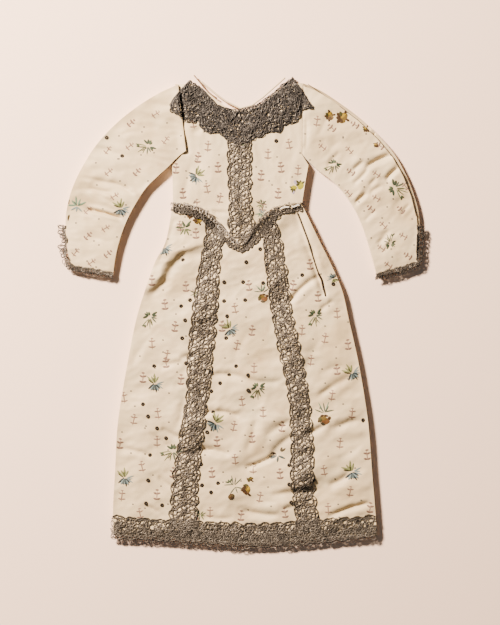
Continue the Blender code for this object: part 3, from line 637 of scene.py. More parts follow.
def free_edges():
    """The garment's edges where the front cloth turns down to the back."""
    bodice = bodice_sections(0.0, WAIST)
    edges = [cross_line(SKIRT_SECTIONS[-1]), cross_line(bodice[0])]
    for share in (0.0, 1.0):
        edges.append(edge_line(SKIRT_SECTIONS, share))
        edges.append(edge_line(bodice[3:], share, False))
        edges.append(edge_line(SLEEVE_LEFT_SECTIONS, share))
        edges.append(edge_line(SLEEVE_RIGHT_SECTIONS, share))
    return edges + [cross_line(SLEEVE_LEFT_SECTIONS[-1]), cross_line(SLEEVE_RIGHT_SECTIONS[-1])]


FREE_EDGES = free_edges()
END_LINES = [FREE_EDGES[0], *FREE_EDGES[-2:]]
WAIST_LINE = cross_line(WAIST, 60)
ARMHOLE_LEFT = cross_line(SLEEVE_LEFT_SECTIONS[0])
ARMHOLE_RIGHT = cross_line(SLEEVE_RIGHT_SECTIONS[0])


def taper(share):
    """One along the middle of a run, and nothing at its ends."""
    return np.clip(1.0 - (2.0 * share - 1.0) ** 4, 0.0, 1.0)


def crease_relief(panel, points):
    """Depth of the sharp creases at points of a panel, with the soft lips beside them."""
    relief = np.zeros(len(points))
    for crease in CREASES[panel]:
        start = np.array([crease.from_across, crease.from_down])
        run = np.array([crease.to_across, crease.to_down]) - start
        length = np.hypot(*run)
        along = (points - start) @ run / length**2
        inside = taper(along) * ((along > 0.0) & (along < 1.0))
        side = (points - start) @ np.array([-run[1], run[0]]) / length
        side = side + crease.bow * (1.0 - (2.0 * along - 1.0) ** 2)
        trough = np.exp(-np.abs(side / crease.width) ** 1.7)
        lips = np.exp(-((np.abs(side) - LIP_PLACE * crease.width) / (LIP_SPREAD * crease.width)) ** 2)
        relief += crease.depth * inside * (LIP_SHARE * lips - trough)
    return relief


def flap_relief(panel, points):
    """Steps where the cloth overlaps itself, steep at the course and fading away from it."""
    relief = np.zeros(len(points))
    for flap in SKIRT_FLAPS if panel == "skirt_front" else ():
        course = np.array(flap.course)
        nearest, side, place = np.full(len(points), np.inf), np.zeros(len(points)), np.zeros(len(points))
        for index, (start, end) in enumerate(zip(course[:-1], course[1:])):
            run = end - start
            share = np.clip((points - start) @ run / (run @ run), 0.0, 1.0)
            away = points - start - share[:, None] * run
            gap = np.hypot(*away.T)
            closer = gap < nearest
            nearest = np.where(closer, gap, nearest)
            side = np.where(closer, np.sign(run[0] * away[:, 1] - run[1] * away[:, 0]) * gap, side)
            place = np.where(closer, (index + share) / (len(course) - 1), place)
        relief -= flap.height * taper(place) * np.tanh(side / FLAP_STEP) * np.exp(-np.abs(side) / flap.reach)
    return relief


def grain_noise(points, turn, stretch, size, seed):
    """Smooth noise of a size at points, drawn out by a stretch along a turned grain."""
    cos, sin = math.cos(math.radians(turn)), math.sin(math.radians(turn))
    values = []
    for across, down in points:
        along, beside = across * cos + down * sin, down * cos - across * sin
        values.append(noise.noise(Vector((along / (size * stretch), beside / size, seed))))
    return np.array(values)


def pucker_relief(points, feel):
    """Crisp puckers, long one way and short the other: sharp crests between soft hollows."""
    broad, fine, small = (grain_noise(points, feel.turn, feel.stretch, size, feel.seed + layer)
                          for size, layer in ((17.0, 0.0), (8.0, 9.0), (4.0, 17.0)))
    return 0.5 - 2.4 * np.abs(broad) - np.abs(fine) + 0.35 * small


def front_height(panel, points):
    """Height of the outside of the front silk before its creases, and the distance to a free edge."""
    edge = np.min([line_distance(points, line) for line in FREE_EDGES], axis=0)
    folds = np.zeros(len(points))
    for fold in FOLDS.get(panel, ()):
        line = np.array([[fold.from_across, fold.from_down], [fold.to_across, fold.to_down]])
        folds += fold.height * np.exp(-(line_distance(points, line) / fold.width) ** 2)
    rise = np.clip(PUFF + folds, 0.0, RISE_LIMIT)
    return BACK_WALL + SEAM + rise + FRONT_WALL, edge


# How each panel's silk puckers and swells.
PANEL_FEEL = {
    "skirt_front": Feel(1.0, -14.0, 1.7, 1.4, 3.2),
    "bodice_front": Feel(4.0, 80.0, 1.5, 0.9, 2.0),
    "sleeve_top_left": Feel(7.0, 12.0, 1.9, 1.5, 2.8),
    "sleeve_top_right": Feel(11.0, -28.0, 1.9, 1.5, 2.8),
}
SWELL_SIZE = 26.0
SWELL_STRETCH = 1.4
SWELL_FADE = 9.0
EDGE_FADE = 1.8

# How much each panel rises beside its seams, or sinks where it is below nothing.
SEAM_RISES = {
    "skirt_front": [Rise(WAIST_LINE, -0.45, 7.0)],
    "bodice_front": [
        Rise(WAIST_LINE, 0.25, 5.0),
        Rise(ARMHOLE_LEFT, -2.2, 4.0),
        Rise(ARMHOLE_RIGHT, -0.5, 1.6),
    ],
    "sleeve_top_left": [Rise(ARMHOLE_LEFT, 1.8, 5.0)],
    "sleeve_top_right": [Rise(ARMHOLE_RIGHT, -0.5, 1.6)],
}


def shaped_height(panel, points):
    """Height of the outside of a front panel with its creases, puckers, overlaps and lowered ends."""
    height, edge = front_height(panel, points)
    feel = PANEL_FEEL[panel]
    fade = 1.0 - np.exp(-edge / EDGE_FADE)
    height += (CREASE_SHARE * crease_relief(panel, points) + flap_relief(panel, points)) * fade
    swell = grain_noise(points, feel.turn, SWELL_STRETCH, SWELL_SIZE, feel.seed + 30.0)
    height += feel.swell * swell * (1.0 - np.exp(-edge / SWELL_FADE))
    height += pucker_relief(points, feel) * settings().pucker_height / MM * feel.strength * fade
    ends = np.min([line_distance(points, line) for line in END_LINES], axis=0)
    height -= END_DROP * np.exp(-ends / END_FADE)
    for seam in SEAM_RISES[panel]:
        height += seam.rise * np.exp(-(line_distance(points, seam.line) / seam.reach) ** 2)
    return height


def outline_area(grid):
    """Area inside the outline of a grid of points, in square metres."""
    loop = np.concatenate([grid[0], grid[1:, -1], grid[-1, ::-1][1:], grid[::-1, 0][1:]])
    across, down = loop.T
    return abs(np.sum(across * np.roll(down, -1) - down * np.roll(across, -1))) / 2 * MM * MM


def cloth_sheet(name, sections, smooth, height_of, material, cell=None, rims=(), begin=0.0):
    """A thin cloth panel: a grid primitive laid over the panel's sections, then given its wall.

    Its rims, the sides and the end that go down to the cloth below, begin at a share of its length.
    """
    cell = cell or settings().cloth_cell / MM
    coarse = panel_points(sections, 8, 16, smooth)
    width = np.linalg.norm(np.diff(coarse, axis=1), axis=2).sum(axis=1).max()
    length = np.linalg.norm(np.diff(coarse, axis=0), axis=2).sum(axis=0).max()
    columns, rows = round(width / cell), round(length / cell)
    grid = panel_points(sections, columns, rows, smooth)
    bpy.ops.object.select_all(action="DESELECT")
    bpy.ops.mesh.primitive_grid_add(x_subdivisions=columns, y_subdivisions=rows)
    item = bpy.context.object
    item.name = item.data.name = name
    points = grid[::-1].reshape(-1, 2)
    heights = height_of(points).reshape(rows + 1, columns + 1)
    beyond = round(rows * (1.0 - begin)) + 1
    for rim, place in (("left", np.s_[:beyond, 0]), ("right", np.s_[:beyond, -1]), ("end", np.s_[0])):
        if rim in rims:
            heights[place] = EDGE_HEIGHT
    item.data.vertices.foreach_set("co", placed(points, heights).ravel())
    item.data.update()
    item.data.materials.append(material)
    activate(item)
    wall = item.modifiers.new("wall", "SOLIDIFY")
    wall.thickness = SHELL_WALL * MM
    wall.offset = -1.0
    bpy.ops.object.modifier_apply(modifier=wall.name)
    bpy.ops.object.shade_smooth_by_angle(angle=math.radians(60))
    item["cut_area"] = outline_area(grid)
    return item


class Pile:
    """The top of all that is laid so far."""

    def __init__(self):
        self.trees = []

    def add(self, item):
        """Let later pieces rest on this one."""
        item.data.calc_loop_triangles()
        points = [vertex.co.copy() for vertex in item.data.vertices]
        faces = [tuple(face.vertices) for face in item.data.loop_triangles]
        self.trees.append(BVHTree.FromPolygons(points, faces))

    def heights(self, points, floor=OVERHANG):
        """Height of the pile at each point of the tables, or of a free edge where there is no cloth."""
        down = Vector((0.0, 0.0, -1.0))
        found = np.broadcast_to(floor, len(points)).astype(float)
        for index, place in enumerate(placed(points, 60.0)):
            above = Vector(place)
            hits = [hit[0].z / MM for hit in (tree.ray_cast(above, down) for tree in self.trees) if hit[0]]
            found[index] = max(hits + [found[index]])
        return found


PILE = Pile()


class Strands:
    """Collects thin tubes along lines of points, and makes them one mesh."""

    def __init__(self, sides=4):
        self.sides = sides
        self.points, self.faces, self.finishes, self.count = [], [], [], 0

    def add(self, line, radius, closed=False, finish=0):
        """Add a tube of a radius along a line of points in metres, in one of the piece's finishes."""
        line = np.asarray(line, float)
        ahead = np.roll(line, -1, axis=0) - np.roll(line, 1, axis=0)
        if not closed:
            ahead[0], ahead[-1] = line[1] - line[0], line[-1] - line[-2]
        ahead /= np.maximum(np.linalg.norm(ahead, axis=1, keepdims=True), 1e-12)
        beside = np.cross(ahead, [0.0, 0.0, 1.0])
        beside /= np.maximum(np.linalg.norm(beside, axis=1, keepdims=True), 1e-9)
        upward = np.cross(beside, ahead)
        turns = (np.arange(self.sides) + 0.5) * 2.0 * math.pi / self.sides
        rings = (line[:, None] + radius * (np.cos(turns)[:, None] * beside[:, None]
                                           + np.sin(turns)[:, None] * upward[:, None]))
        self.points.append(rings.reshape(-1, 3))
        total = len(line)
        for index in range(total if closed else total - 1):
            here, there = self.count + index * self.sides, self.count + (index + 1) % total * self.sides
            for side in range(self.sides):
                beyond = (side + 1) % self.sides
                self.faces.append((here + side, here + beyond, there + beyond, there + side))
        if not closed:
            first, last = self.count, self.count + (total - 1) * self.sides
            self.faces.append(tuple(first + side for side in reversed(range(self.sides))))
            self.faces.append(tuple(last + side for side in range(self.sides)))
        self.count += total * self.sides
        self.finishes += [finish] * (len(self.faces) - len(self.finishes))

    def finish(self, name, *materials):
        """Make the mesh of all the tubes."""
        mesh = bpy.data.meshes.new(name)
        mesh.from_pydata(np.concatenate(self.points).tolist(), [], self.faces)
        for material in materials:
            mesh.materials.append(material)
        mesh.polygons.foreach_set("material_index", self.finishes)
        mesh.shade_smooth()
        item = bpy.data.objects.new(name, mesh)
        bpy.context.scene.collection.objects.link(item)
        return item


class Lace:
    """One lace: its band on the gown, its seed, and the cords laid in it so far."""

    def __init__(self, trim):
        self.name, self.seed, self.overhang, self.edge = trim.name, trim.seed, trim.overhang, trim.edge
        self.strands = Strands()
        self.gimp = settings().thread_radius / MM
        last = len(trim.bands) - 1
        self.rows = read_rows(trim.bands, np.linspace(0.0, last, last * 12 + 1))
        middles = (self.rows[:, :2] + self.rows[:, 2:]) / 2
        self.runs = np.concatenate([[0.0], np.cumsum(np.hypot(*np.diff(middles, axis=0).T))])
        self.length = self.runs[-1]
        self.width = float(np.hypot(*(self.rows[:, 2:] - self.rows[:, :2]).T).mean())

    def floor(self, points):
        """Height of the lace where no cloth bears it: it sinks as it leaves the cloth's edge."""
        if self.edge is None:
            return np.full(len(points), self.overhang)
        return np.maximum(self.overhang - SINK * line_distance(points, self.edge), LOWEST)

    def points(self, along, share):
        """Points at distances along the band, and shares across it from left to right."""
        along = np.clip(along, 0.0, self.length)
        rows = np.column_stack([np.interp(along, self.runs, column) for column in self.rows.T])
        return rows[:, :2] + (rows[:, 2:] - rows[:, :2]) * np.asarray(share)[:, None]

    def finish(self, slot, materials):
        """Make the mesh of all the cords, which stands for the solid of the lace's name."""
        fit_out(self.strands.finish(f"{self.name}_threads", *materials), slot, self.name)


def steady_noise(across, down, layer):
    """Three smooth noise values for one place, the same in every run."""
    return Vector([noise.noise(Vector((across + far, down - far, layer))) for far in (0.0, 41.3, 83.9)])


def wandered(points, seed, reach, scale):
    """Points moved a little by smooth noise, as hand-made lace wanders from its pattern."""
    moved = np.array(points, float)
    for index, (across, down) in enumerate(points):
        drift = steady_noise(across / scale, down / scale, seed)
        moved[index] += reach * np.array([drift.x, drift.y])
    return moved


def lay_cord(lace, along, share, radius, lift, layer, stray=5.0, closed=False, finish=0):
    """Lay one cord of a lace on the pile, wandering with its layer and a little on its own."""
    seed = lace.seed + layer
    points = wandered(lace.points(along, share), seed, 1.5, 8.0)
    points = wandered(points, seed + stray, 0.9, 3.0)
    heights = PILE.heights(points, lace.floor(points)) + lift
    lace.strands.add(placed(points, heights), radius * MM, closed, finish)


def scalloped_edge(lace, side, repeat, depth, cord, layer, spokes):
    """The fans along one edge of a lace: two arcs a repeat, joined by spokes."""
    radius = lace.gimp * cord
    count = max(1, round(lace.length / repeat))
    repeat = lace.length / count
    inner = depth + 2.3

    def across(reach):
        share = np.asarray(reach, float) / lace.width
        return share if side == 0 else 1.0 - share

    for index in range(count):
        turn = np.linspace(0.0, 1.0, 14)
        along = (index + turn) * repeat
        arch = np.sin(math.pi * turn) ** 0.55
        lay_cord(lace, along, across(depth - depth * arch), radius, radius + 0.35, layer)
        lay_cord(lace, along, across(inner - (depth - 0.4) * arch), radius * 0.9, radius + 0.2, layer)
        for spoke in range(spokes):
            place = (spoke + 0.5) / spokes
            bend = math.sin(math.pi * place) ** 0.55
            reach = np.linspace(depth - depth * bend, inner - (depth - 0.4) * bend, 3)
            fan = np.linspace(0.0, 0.12, 3) * (0.5 - place)
            lay_cord(lace, (index + place + fan) * repeat, across(reach), radius * 0.8, radius, layer)


def swaying_net(lace, margins, spacing, cell, cord, layer, lift):
    """Cords that sway along a lace and meet their neighbours, which makes its uneven cells."""
    radius = lace.gimp * cord
    first, last = margins[0] / lace.width, 1.0 - margins[1] / lace.width
    cords = max(2, round((last - first) * lace.width / spacing))
    waves = max(1, round(lace.length / cell))
    along = np.linspace(0.0, lace.length, waves * 7 + 1)
    for number in range(cords + 1):
        sway = np.sin(2 * math.pi * along / lace.length * waves + math.pi * number)
        share = np.clip(first + (last - first) * (number + 0.47 * sway) / cords, 0.01, 0.99)
        lay_cord(lace, along, share, radius * (1.0 if number % 2 else 0.8),
                 radius * (0.9 + 0.35 * (number % 3)) + lift, layer, stray=number * 3.3, finish=number % 2)


def ring_net(lace, net):
    """Round cells packed over a part of a lace, each an uneven loop that touches the next."""
    radius = lace.gimp * net.cord
    first, last = net.margins[0], lace.width - net.margins[1]
    rows = max(1, round((last - first) / (net.cell * 0.92)))
    columns = max(1, round(lace.length / net.cell))
    ring = np.linspace(0.0, 2 * math.pi, 11)[:-1]
    for row in range(rows):
        middle = first + (last - first) * (row + 0.5) / rows
        for column in range(round(net.part[0] * columns), round(net.part[1] * columns)):
            jitter = steady_noise(column * 1.7, row * 2.3, lace.seed + net.layer)
            size = net.cell * (0.53 + 0.16 * jitter.z)
            along = (column + 0.25 + 0.5 * (row % 2) + 0.5 * jitter.x) * lace.length / columns
            share = (middle + 0.9 * jitter.y + size * np.sin(ring + 1.2 * jitter.x)) / lace.width
            lay_cord(lace, along + size * np.cos(ring), np.clip(share, 0.0, 1.0), radius,
                     radius * (0.8 + 0.35 * ((row + column) % 3)) + net.lift, net.layer, 2.0, closed=True,
                     finish=(row + 2 * column) % 3 % 2 if net.finish is None else net.finish)


def star_net(lace, repeat, cord, layer):
    """A star in each repeat of a lace: a small hub with spokes out from it."""
    radius = lace.gimp * cord
    count = max(1, round(lace.length / repeat))
    hub = 1.3
    for index in range(count):
        spot = steady_noise(index * 1.9, lace.seed + layer, 2.5)
        middle = (index + 0.5 + 0.16 * spot.x) * lace.length / count
        centre = 0.5 + 0.08 * spot.y
        ring = np.linspace(0.0, 2 * math.pi, 9)[:-1]
        lay_cord(lace, middle + hub * np.cos(ring), centre + hub / lace.width * np.sin(ring),
                 radius, radius + 0.5, layer, 1.0, closed=True, finish=index % 2)
        for spoke in range(7):
            angle = 2 * math.pi * (spoke + 0.3 * spot.x) / 7
            reach = np.linspace(hub, 0.5 * repeat, 5)
            share = np.clip(centre + reach / lace.width * math.sin(angle), 0.02, 0.98)
            lay_cord(lace, middle + reach * math.cos(angle), share, radius * 0.9, radius + 0.4, layer, 1.0,
                     finish=spoke % 2)


def meander(lace, middle, wave, cord, lift):
    """A heavy cord that winds from side to side along a lace."""
    radius = lace.gimp * cord
    waves = max(1, round(lace.length / wave))
    along = np.linspace(0.0, lace.length, waves * 14 + 1)
    share = middle + 0.09 * np.sin(2 * math.pi * along / lace.length * waves + lace.seed + wave)
    lay_cord(lace, along, share, radius, radius + lift, wave + 2.0)


def knots(lace, spacing, cord, layer):
    """Small thick loops sewn here and there over a lace."""
    radius = lace.gimp * cord
    for index in range(int(lace.length / spacing)):
        spot = steady_noise(index * 1.37, lace.seed + layer, 0.5)
        ring = np.linspace(0.0, 2 * math.pi, 9)[:-1]
        size = 1.5 + 0.6 * spot.z
        share = np.clip(0.5 + 0.75 * spot.x + size / lace.width * np.sin(ring), 0.03, 0.97)
        along = (index + 0.5 + spot.y) * spacing + size * np.cos(ring)
        lay_cord(lace, along, share, radius, radius + 0.7, layer, closed=True, finish=index % 2)


def twisted_rail(lace, rail):
    """Two cords twisted round each other along a part of a lace, at a share of its width."""
    radius = lace.gimp * rail.cord
    first, last = rail.part
    run = np.linspace(first, last, int((last - first) * lace.length / 0.9) + 2) * lace.length
    for half in (0.0, math.pi):
        twist = 2 * math.pi * run / 2.8 + half
        lay_cord(lace, run, rail.share + 0.5 / lace.width * np.cos(twist), radius,
                 rail.lift + radius + 0.4 * np.sin(twist), rail.layer, 1.0, finish=rail.finish)


def railed_edging(lace, rails, loop, cord, lift):
    """An edging of rails along it at shares of its width, with loops wound between them."""
    for number, share in enumerate(rails):
        twisted_rail(lace, Rail(share, (0.0, 1.0), cord, lift, 0.0, number % 2))
    radius = lace.gimp * cord
    middle, reach = (rails[0] + rails[-1]) / 2, (rails[-1] - rails[0]) / 2
    turns = max(1, round(lace.length / loop))
    along = np.linspace(0.0, lace.length, turns * 10 + 1)
    for half in (0.0, math.pi):
        angle = 2 * math.pi * along / lace.length * turns + half
        lay_cord(lace, along + 0.35 * loop * np.sin(2 * angle), middle + reach * np.cos(angle), radius,
                 lift + 0.3 + radius, 3.0, finish=1)


def picots(lace, loops):
    """Thread loops standing out from an edging: rooted at a share of its width, a reach long."""
    count = max(1, int(lace.length / loops.spacing))
    for index in range(count):
        uneven = noise.noise(Vector((index * 0.77, lace.seed + loops.layer, 1.5)))
        turn = np.linspace(0.0, 2 * math.pi, 10)
        outward = loops.root + loops.reach / lace.width * (1.0 + 0.5 * uneven) * (0.5 - 0.5 * np.cos(turn))
        along = (index + 0.5 + 0.2 * uneven) * lace.length / count + 0.42 * loops.spacing * np.sin(turn)
        lay_cord(lace, along, outward, lace.gimp * loops.cord, loops.lift, loops.layer,
                 finish=index % loops.finishes)


def made_once(store, name):
    """For a function that makes a material or a node group: later calls find what the first one made."""
    def keep(build):
        return lambda: getattr(bpy.data, store).get(name) or build(name)

    return keep


def shader_material(name, roughness, metallic, **values):
    """A new material, its Principled shader, and its nodes and links."""
    material = bpy.data.materials.new(name)
    material.use_nodes = True
    tree = material.node_tree
    shader = tree.nodes["Principled BSDF"]
    shader.inputs["Roughness"].default_value = roughness
    shader.inputs["Metallic"].default_value = metallic
    for socket, value in values.items():
        shader.inputs[socket.replace("_", " ")].default_value = value
    return material, shader, tree


def group_with(name, inputs, outputs):
    """A new shader node group with named inputs (name, kind, default) and outputs (name, kind)."""
    group = bpy.data.node_groups.new(name, "ShaderNodeTree")
    for label, kind, default in inputs:
        socket = group.interface.new_socket(name=label, in_out="INPUT", socket_type=kind)
        if default is not None:
            socket.default_value = default
    for label, kind in outputs:
        group.interface.new_socket(name=label, in_out="OUTPUT", socket_type=kind)
    return group, group.nodes.new("NodeGroupInput"), group.nodes.new("NodeGroupOutput")


def math_node(tree, operation, *values):
    """A math node whose inputs are sockets or numbers, as its output socket."""
    node = tree.nodes.new("ShaderNodeMath")
    node.operation = operation
    for socket, value in zip(node.inputs, values):
        if isinstance(value, bpy.types.NodeSocket):
            tree.links.new(value, socket)
        else:
            socket.default_value = value
    return node.outputs[0]


@made_once("node_groups", "woven_threads")
def weave_group(name):
    """Height of a plain weave: crossing threads of a pitch, made uneven by slubs."""
    group, source, sink = group_with(
        name, [("Vector", "NodeSocketVector", None), ("Pitch", "NodeSocketFloat", 0.0005)],
        [("Height", "NodeSocketFloat"), ("Slub", "NodeSocketFloat")])
    links = group.links
    split = group.nodes.new("ShaderNodeSeparateXYZ")
    links.new(source.outputs["Vector"], split.inputs[0])
    turns = math_node(group, "DIVIDE", 2 * math.pi, source.outputs["Pitch"])
    warp = math_node(group, "SINE", math_node(group, "MULTIPLY", split.outputs["X"], turns))
    weft = math_node(group, "SINE", math_node(group, "MULTIPLY", split.outputs["Y"], turns))
    slub = group.nodes.new("ShaderNodeTexNoise")
    slub.inputs["Scale"].default_value = 900.0
    slub.inputs["Detail"].default_value = 3.0
    stretch = group.nodes.new("ShaderNodeMapping")
    stretch.inputs["Scale"].default_value = (0.12, 1.0, 1.0)
    links.new(source.outputs["Vector"], stretch.inputs["Vector"])
    links.new(stretch.outputs[0], slub.inputs["Vector"])
    threads = math_node(group, "MULTIPLY", math_node(group, "MULTIPLY", warp, weft), 0.5)
    height = math_node(group, "ADD", threads, slub.outputs["Fac"])
    links.new(height, sink.inputs["Height"])
    links.new(slub.outputs["Fac"], sink.inputs["Slub"])
    return group


@made_once("node_groups", "soft_patches")
def patches_group(name):
    """A soft mask of patches of a size, from none at zero to full at one."""
    group, source, sink = group_with(
        name, [("Vector", "NodeSocketVector", None), ("Scale", "NodeSocketFloat", 20.0),
               ("From", "NodeSocketFloat", 0.4), ("To", "NodeSocketFloat", 0.7)],
        [("Mask", "NodeSocketFloat")])
    cloud = group.nodes.new("ShaderNodeTexNoise")
    cloud.inputs["Detail"].default_value = 4.0
    spread = group.nodes.new("ShaderNodeMapRange")
    spread.interpolation_type = "SMOOTHSTEP"
    group.links.new(source.outputs["Vector"], cloud.inputs["Vector"])
    group.links.new(source.outputs["Scale"], cloud.inputs["Scale"])
    group.links.new(cloud.outputs["Fac"], spread.inputs["Value"])
    group.links.new(source.outputs["From"], spread.inputs["From Min"])
    group.links.new(source.outputs["To"], spread.inputs["From Max"])
    group.links.new(spread.outputs[0], sink.inputs["Mask"])
    return group


def use_group(tree, group, vector, **values):
    """Place a node group in a material with its own values."""
    node = tree.nodes.new("ShaderNodeGroup")
    node.node_tree = group
    tree.links.new(vector, node.inputs["Vector"])
    for socket, value in values.items():
        node.inputs[socket].default_value = value
    return node


def mixed(tree, mask, first, second):
    """A colour between two others, each a socket or a colour, by a mask."""
    node = tree.nodes.new("ShaderNodeMix")
    node.data_type = "RGBA"
    tree.links.new(mask, node.inputs["Factor"])
    for socket, colour in ((node.inputs["A"], first), (node.inputs["B"], second)):
        if isinstance(colour, bpy.types.NodeSocket):
            tree.links.new(colour, socket)
        else:
            socket.default_value = (*colour, 1.0)
    return node.outputs["Result"]


def bump(tree, shader, height, strength, distance):
    """Feed a height to a shader's normal."""
    node = tree.nodes.new("ShaderNodeBump")
    node.inputs["Strength"].default_value = strength
    node.inputs["Distance"].default_value = distance
    tree.links.new(height, node.inputs["Height"])
    tree.links.new(node.outputs[0], shader.inputs["Normal"])


def object_coordinates(tree):
    """The socket of the piece's own coordinates."""
    return tree.nodes.new("ShaderNodeTexCoord").outputs["Object"]


@made_once("materials", "cream_silk")
def silk_material(name):
    """Cream ribbed silk: woven threads, a soft sheen, yellowed patches, and a darker, yellower tone towards
    the hem.
    """
    material, shader, tree = shader_material(
        name, 0.52, 0.0, Sheen_Weight=0.25, Sheen_Roughness=0.4, Specular_IOR_Level=0.35)
    place = object_coordinates(tree)
    aged = use_group(tree, patches_group(), place, Scale=14.0, From=0.42, To=0.72)
    spots = use_group(tree, patches_group(), place, Scale=55.0, From=0.60, To=0.76)
    weave = use_group(tree, weave_group(), place, Pitch=0.0006)
    split = tree.nodes.new("ShaderNodeSeparateXYZ")
    tree.links.new(place, split.inputs[0])
    # Towards the hem the silk shifts more and more to the aged colour.
    hemward = math_node(tree, "MULTIPLY_ADD", split.outputs["Y"], -1.5, 0.02)
    hemward.node.use_clamp = True
    aged_patches_and_hemward = math_node(tree, "MAXIMUM", math_node(tree, "MULTIPLY", aged.outputs["Mask"], 0.8), hemward)
    base = mixed(tree, aged_patches_and_hemward, tuple(settings().silk_colour), tuple(settings().silk_aged_colour))
    cool = use_group(tree, patches_group(), place, Scale=38.0, From=0.48, To=0.78)
    greyed = mixed(tree, math_node(tree, "MULTIPLY", cool.outputs["Mask"], 0.3), base, linear(178, 176, 146))
    faint = math_node(tree, "MULTIPLY", spots.outputs["Mask"], 0.30)
    stained = mixed(tree, faint, greyed, linear(158, 128, 96))
    thread = math_node(tree, "MULTIPLY", weave.outputs["Slub"], 0.16)
    tree.links.new(mixed(tree, thread, stained, linear(178, 154, 126)), shader.inputs["Base Color"])
    rough = math_node(tree, "MULTIPLY_ADD", weave.outputs["Slub"], 0.2, 0.42)
    tree.links.new(rough, shader.inputs["Roughness"])
    bump(tree, shader, weave.outputs["Height"], 0.35, 0.0001)
    return material


@made_once("materials", "plain_back_silk")
def lining_material(name):
    """Plain pale cloth of the back panels."""
    material, shader, tree = shader_material(name, 0.7, 0.0, Specular_IOR_Level=0.25)
    place = object_coordinates(tree)
    aged = use_group(tree, patches_group(), place, Scale=11.0, From=0.4, To=0.75)
    weave = use_group(tree, weave_group(), place, Pitch=0.0008)
    tree.links.new(mixed(tree, aged.outputs["Mask"], tuple(settings().silk_colour), linear(180, 150, 112)),
                   shader.inputs["Base Color"])
    bump(tree, shader, weave.outputs["Height"], 0.4, 0.0001)
    return material


@made_once("materials", "silk_floss")
def floss_material(name):
    """Untwisted silk floss, coloured by its own tint, with fine lengthwise strands."""
    material, shader, tree = shader_material(name, 0.6, 0.0, Specular_IOR_Level=0.2)
    tint = tree.nodes.new("ShaderNodeAttribute")
    tint.attribute_name = "tint"
    place = object_coordinates(tree)
    worn = use_group(tree, patches_group(), place, Scale=420.0, From=0.45, To=0.75)
    faded = math_node(tree, "MULTIPLY", worn.outputs["Mask"], 0.06)
    colour = mixed(tree, faded, tint.outputs["Color"], linear(190, 166, 136))
    tree.links.new(colour, shader.inputs["Base Color"])
    weave = use_group(tree, weave_group(), place, Pitch=0.0004)
    bump(tree, shader, weave.outputs["Height"], 0.5, 0.0001)
    return material


def plain_material(name, colour, roughness):
    """A material of one plain colour."""
    found = bpy.data.materials.get(name)
    if found:
        return found
    material, shader, tree = shader_material(name, roughness, 0.0, Specular_IOR_Level=0.1)
    shader.inputs["Base Color"].default_value = (*colour, 1.0)
    return material


def metal_material(name, dark, light, shine_share):
    """Tarnished metal thread: dark, with small brighter places that are partly worn metal and partly painted
    glints, and broad darker patches that are partly duller tarnish and partly painted shade.
    """
    found = bpy.data.materials.get(name)
    if found:
        return found
    material, shader, tree = shader_material(name, 0.45, 0.35, Specular_IOR_Level=0.4)
    place = object_coordinates(tree)
    # The small bright places stand partly for worn metal and partly for painted glints.
    worn = use_group(tree, patches_group(), place, Scale=420.0, From=0.66 - 0.3 * shine_share, To=0.72)
    # Broad patches darkened towards half the tarnish colour: partly duller tarnish, partly painted shade.
    broad = use_group(tree, patches_group(), place, Scale=105.0, From=0.44, To=0.6)
    colour = mixed(tree, worn.outputs["Mask"], dark, light)
    dull_and_shade = math_node(tree, "MULTIPLY", broad.outputs["Mask"], 0.28)
    shadowed = tuple(value * 0.5 for value in dark)
    tree.links.new(mixed(tree, dull_and_shade, colour, shadowed), shader.inputs["Base Color"])
    rough = math_node(tree, "MULTIPLY_ADD", worn.outputs["Mask"], -0.2, 0.55)
    tree.links.new(rough, shader.inputs["Roughness"])
    weave = use_group(tree, weave_group(), place, Pitch=0.0005)
    bump(tree, shader, weave.outputs["Height"], 0.6, 0.0001)
    return material


def lace_colours():
    """The lace's tarnished colour and its bright one."""
    return tuple(settings().lace_dark_colour), tuple(settings().lace_light_colour)


def lace_finishes():
    """The two finishes of the brown lace: its tarnished cords and lighter ones, which are partly worn metal
    and partly painted glints.
    """
    dark, light = lace_colours()
    between = tuple((a + b) / 2 for a, b in zip(dark, light))
    # The lighter cords paint glints as well as worn metal.
    return (metal_material("tarnished_cord", dark, between, 0.6),
            metal_material("worn_and_glinting_cord", between, light, 0.8))


def edging_finishes():
    """The four finishes of the narrow edgings: dark, mixed and silvery cords, and flat strips in a plain
    near-white that paints the silver's highlight.
    """
    dark, light = lace_colours()
    deep = tuple(value * 0.6 for value in dark)
    return (metal_material("dark_cord", deep, dark, 0.6), metal_material("mixed_cord", dark, light, 0.6),
            metal_material("silver_cord", linear(128, 119, 106), linear(214, 207, 196), 0.75),
            # A plain near-white with no metal: the painted highlight of the silver strips.
            plain_material("painted_highlight_strip", linear(226, 221, 208), 0.5))


def collar_finishes():
    """The two finishes of the collar's lace: blackened cords and lighter pewter ones, which partly paint
    glints.
    """
    # The lighter pewter cords partly paint glints of light.
    return (metal_material("blackened_cord", linear(46, 44, 42), linear(88, 84, 79), 0.6),
            metal_material("pewter_and_glinting_cord", linear(62, 59, 56), linear(122, 118, 112), 0.75))


def floor_material():
    """The plain pale floor."""
    material, shader, tree = shader_material("plain_floor", 0.9, 0.0, Specular_IOR_Level=0.1)
    shader.inputs["Base Color"].default_value = (*settings().floor_colour, 1.0)
    return material


def bare_height(points):
    """A panel that lies flat on the surface."""
    return np.full(len(points), SHELL_WALL)


def under_sleeve_height(points):
    """The right under sleeve: flat, but turned up beside the upper half's outer seam."""
    away = line_distance(points, edge_line(SLEEVE_RIGHT_SECTIONS, 1.0))
    return SHELL_WALL + (TURNED_RISE - TURNED_DIP * np.exp(-(away / 0.9) ** 2)) * (away < TURNED_WIDTH)


def back_neck_height(points):
    """The bodice back: flat, and turned up along its neck edge, which shows above the front's."""
    return SHELL_WALL + NECK_RISE * np.exp(-(line_distance(points, np.array(BACK_NECK)) / NECK_REACH) ** 2)


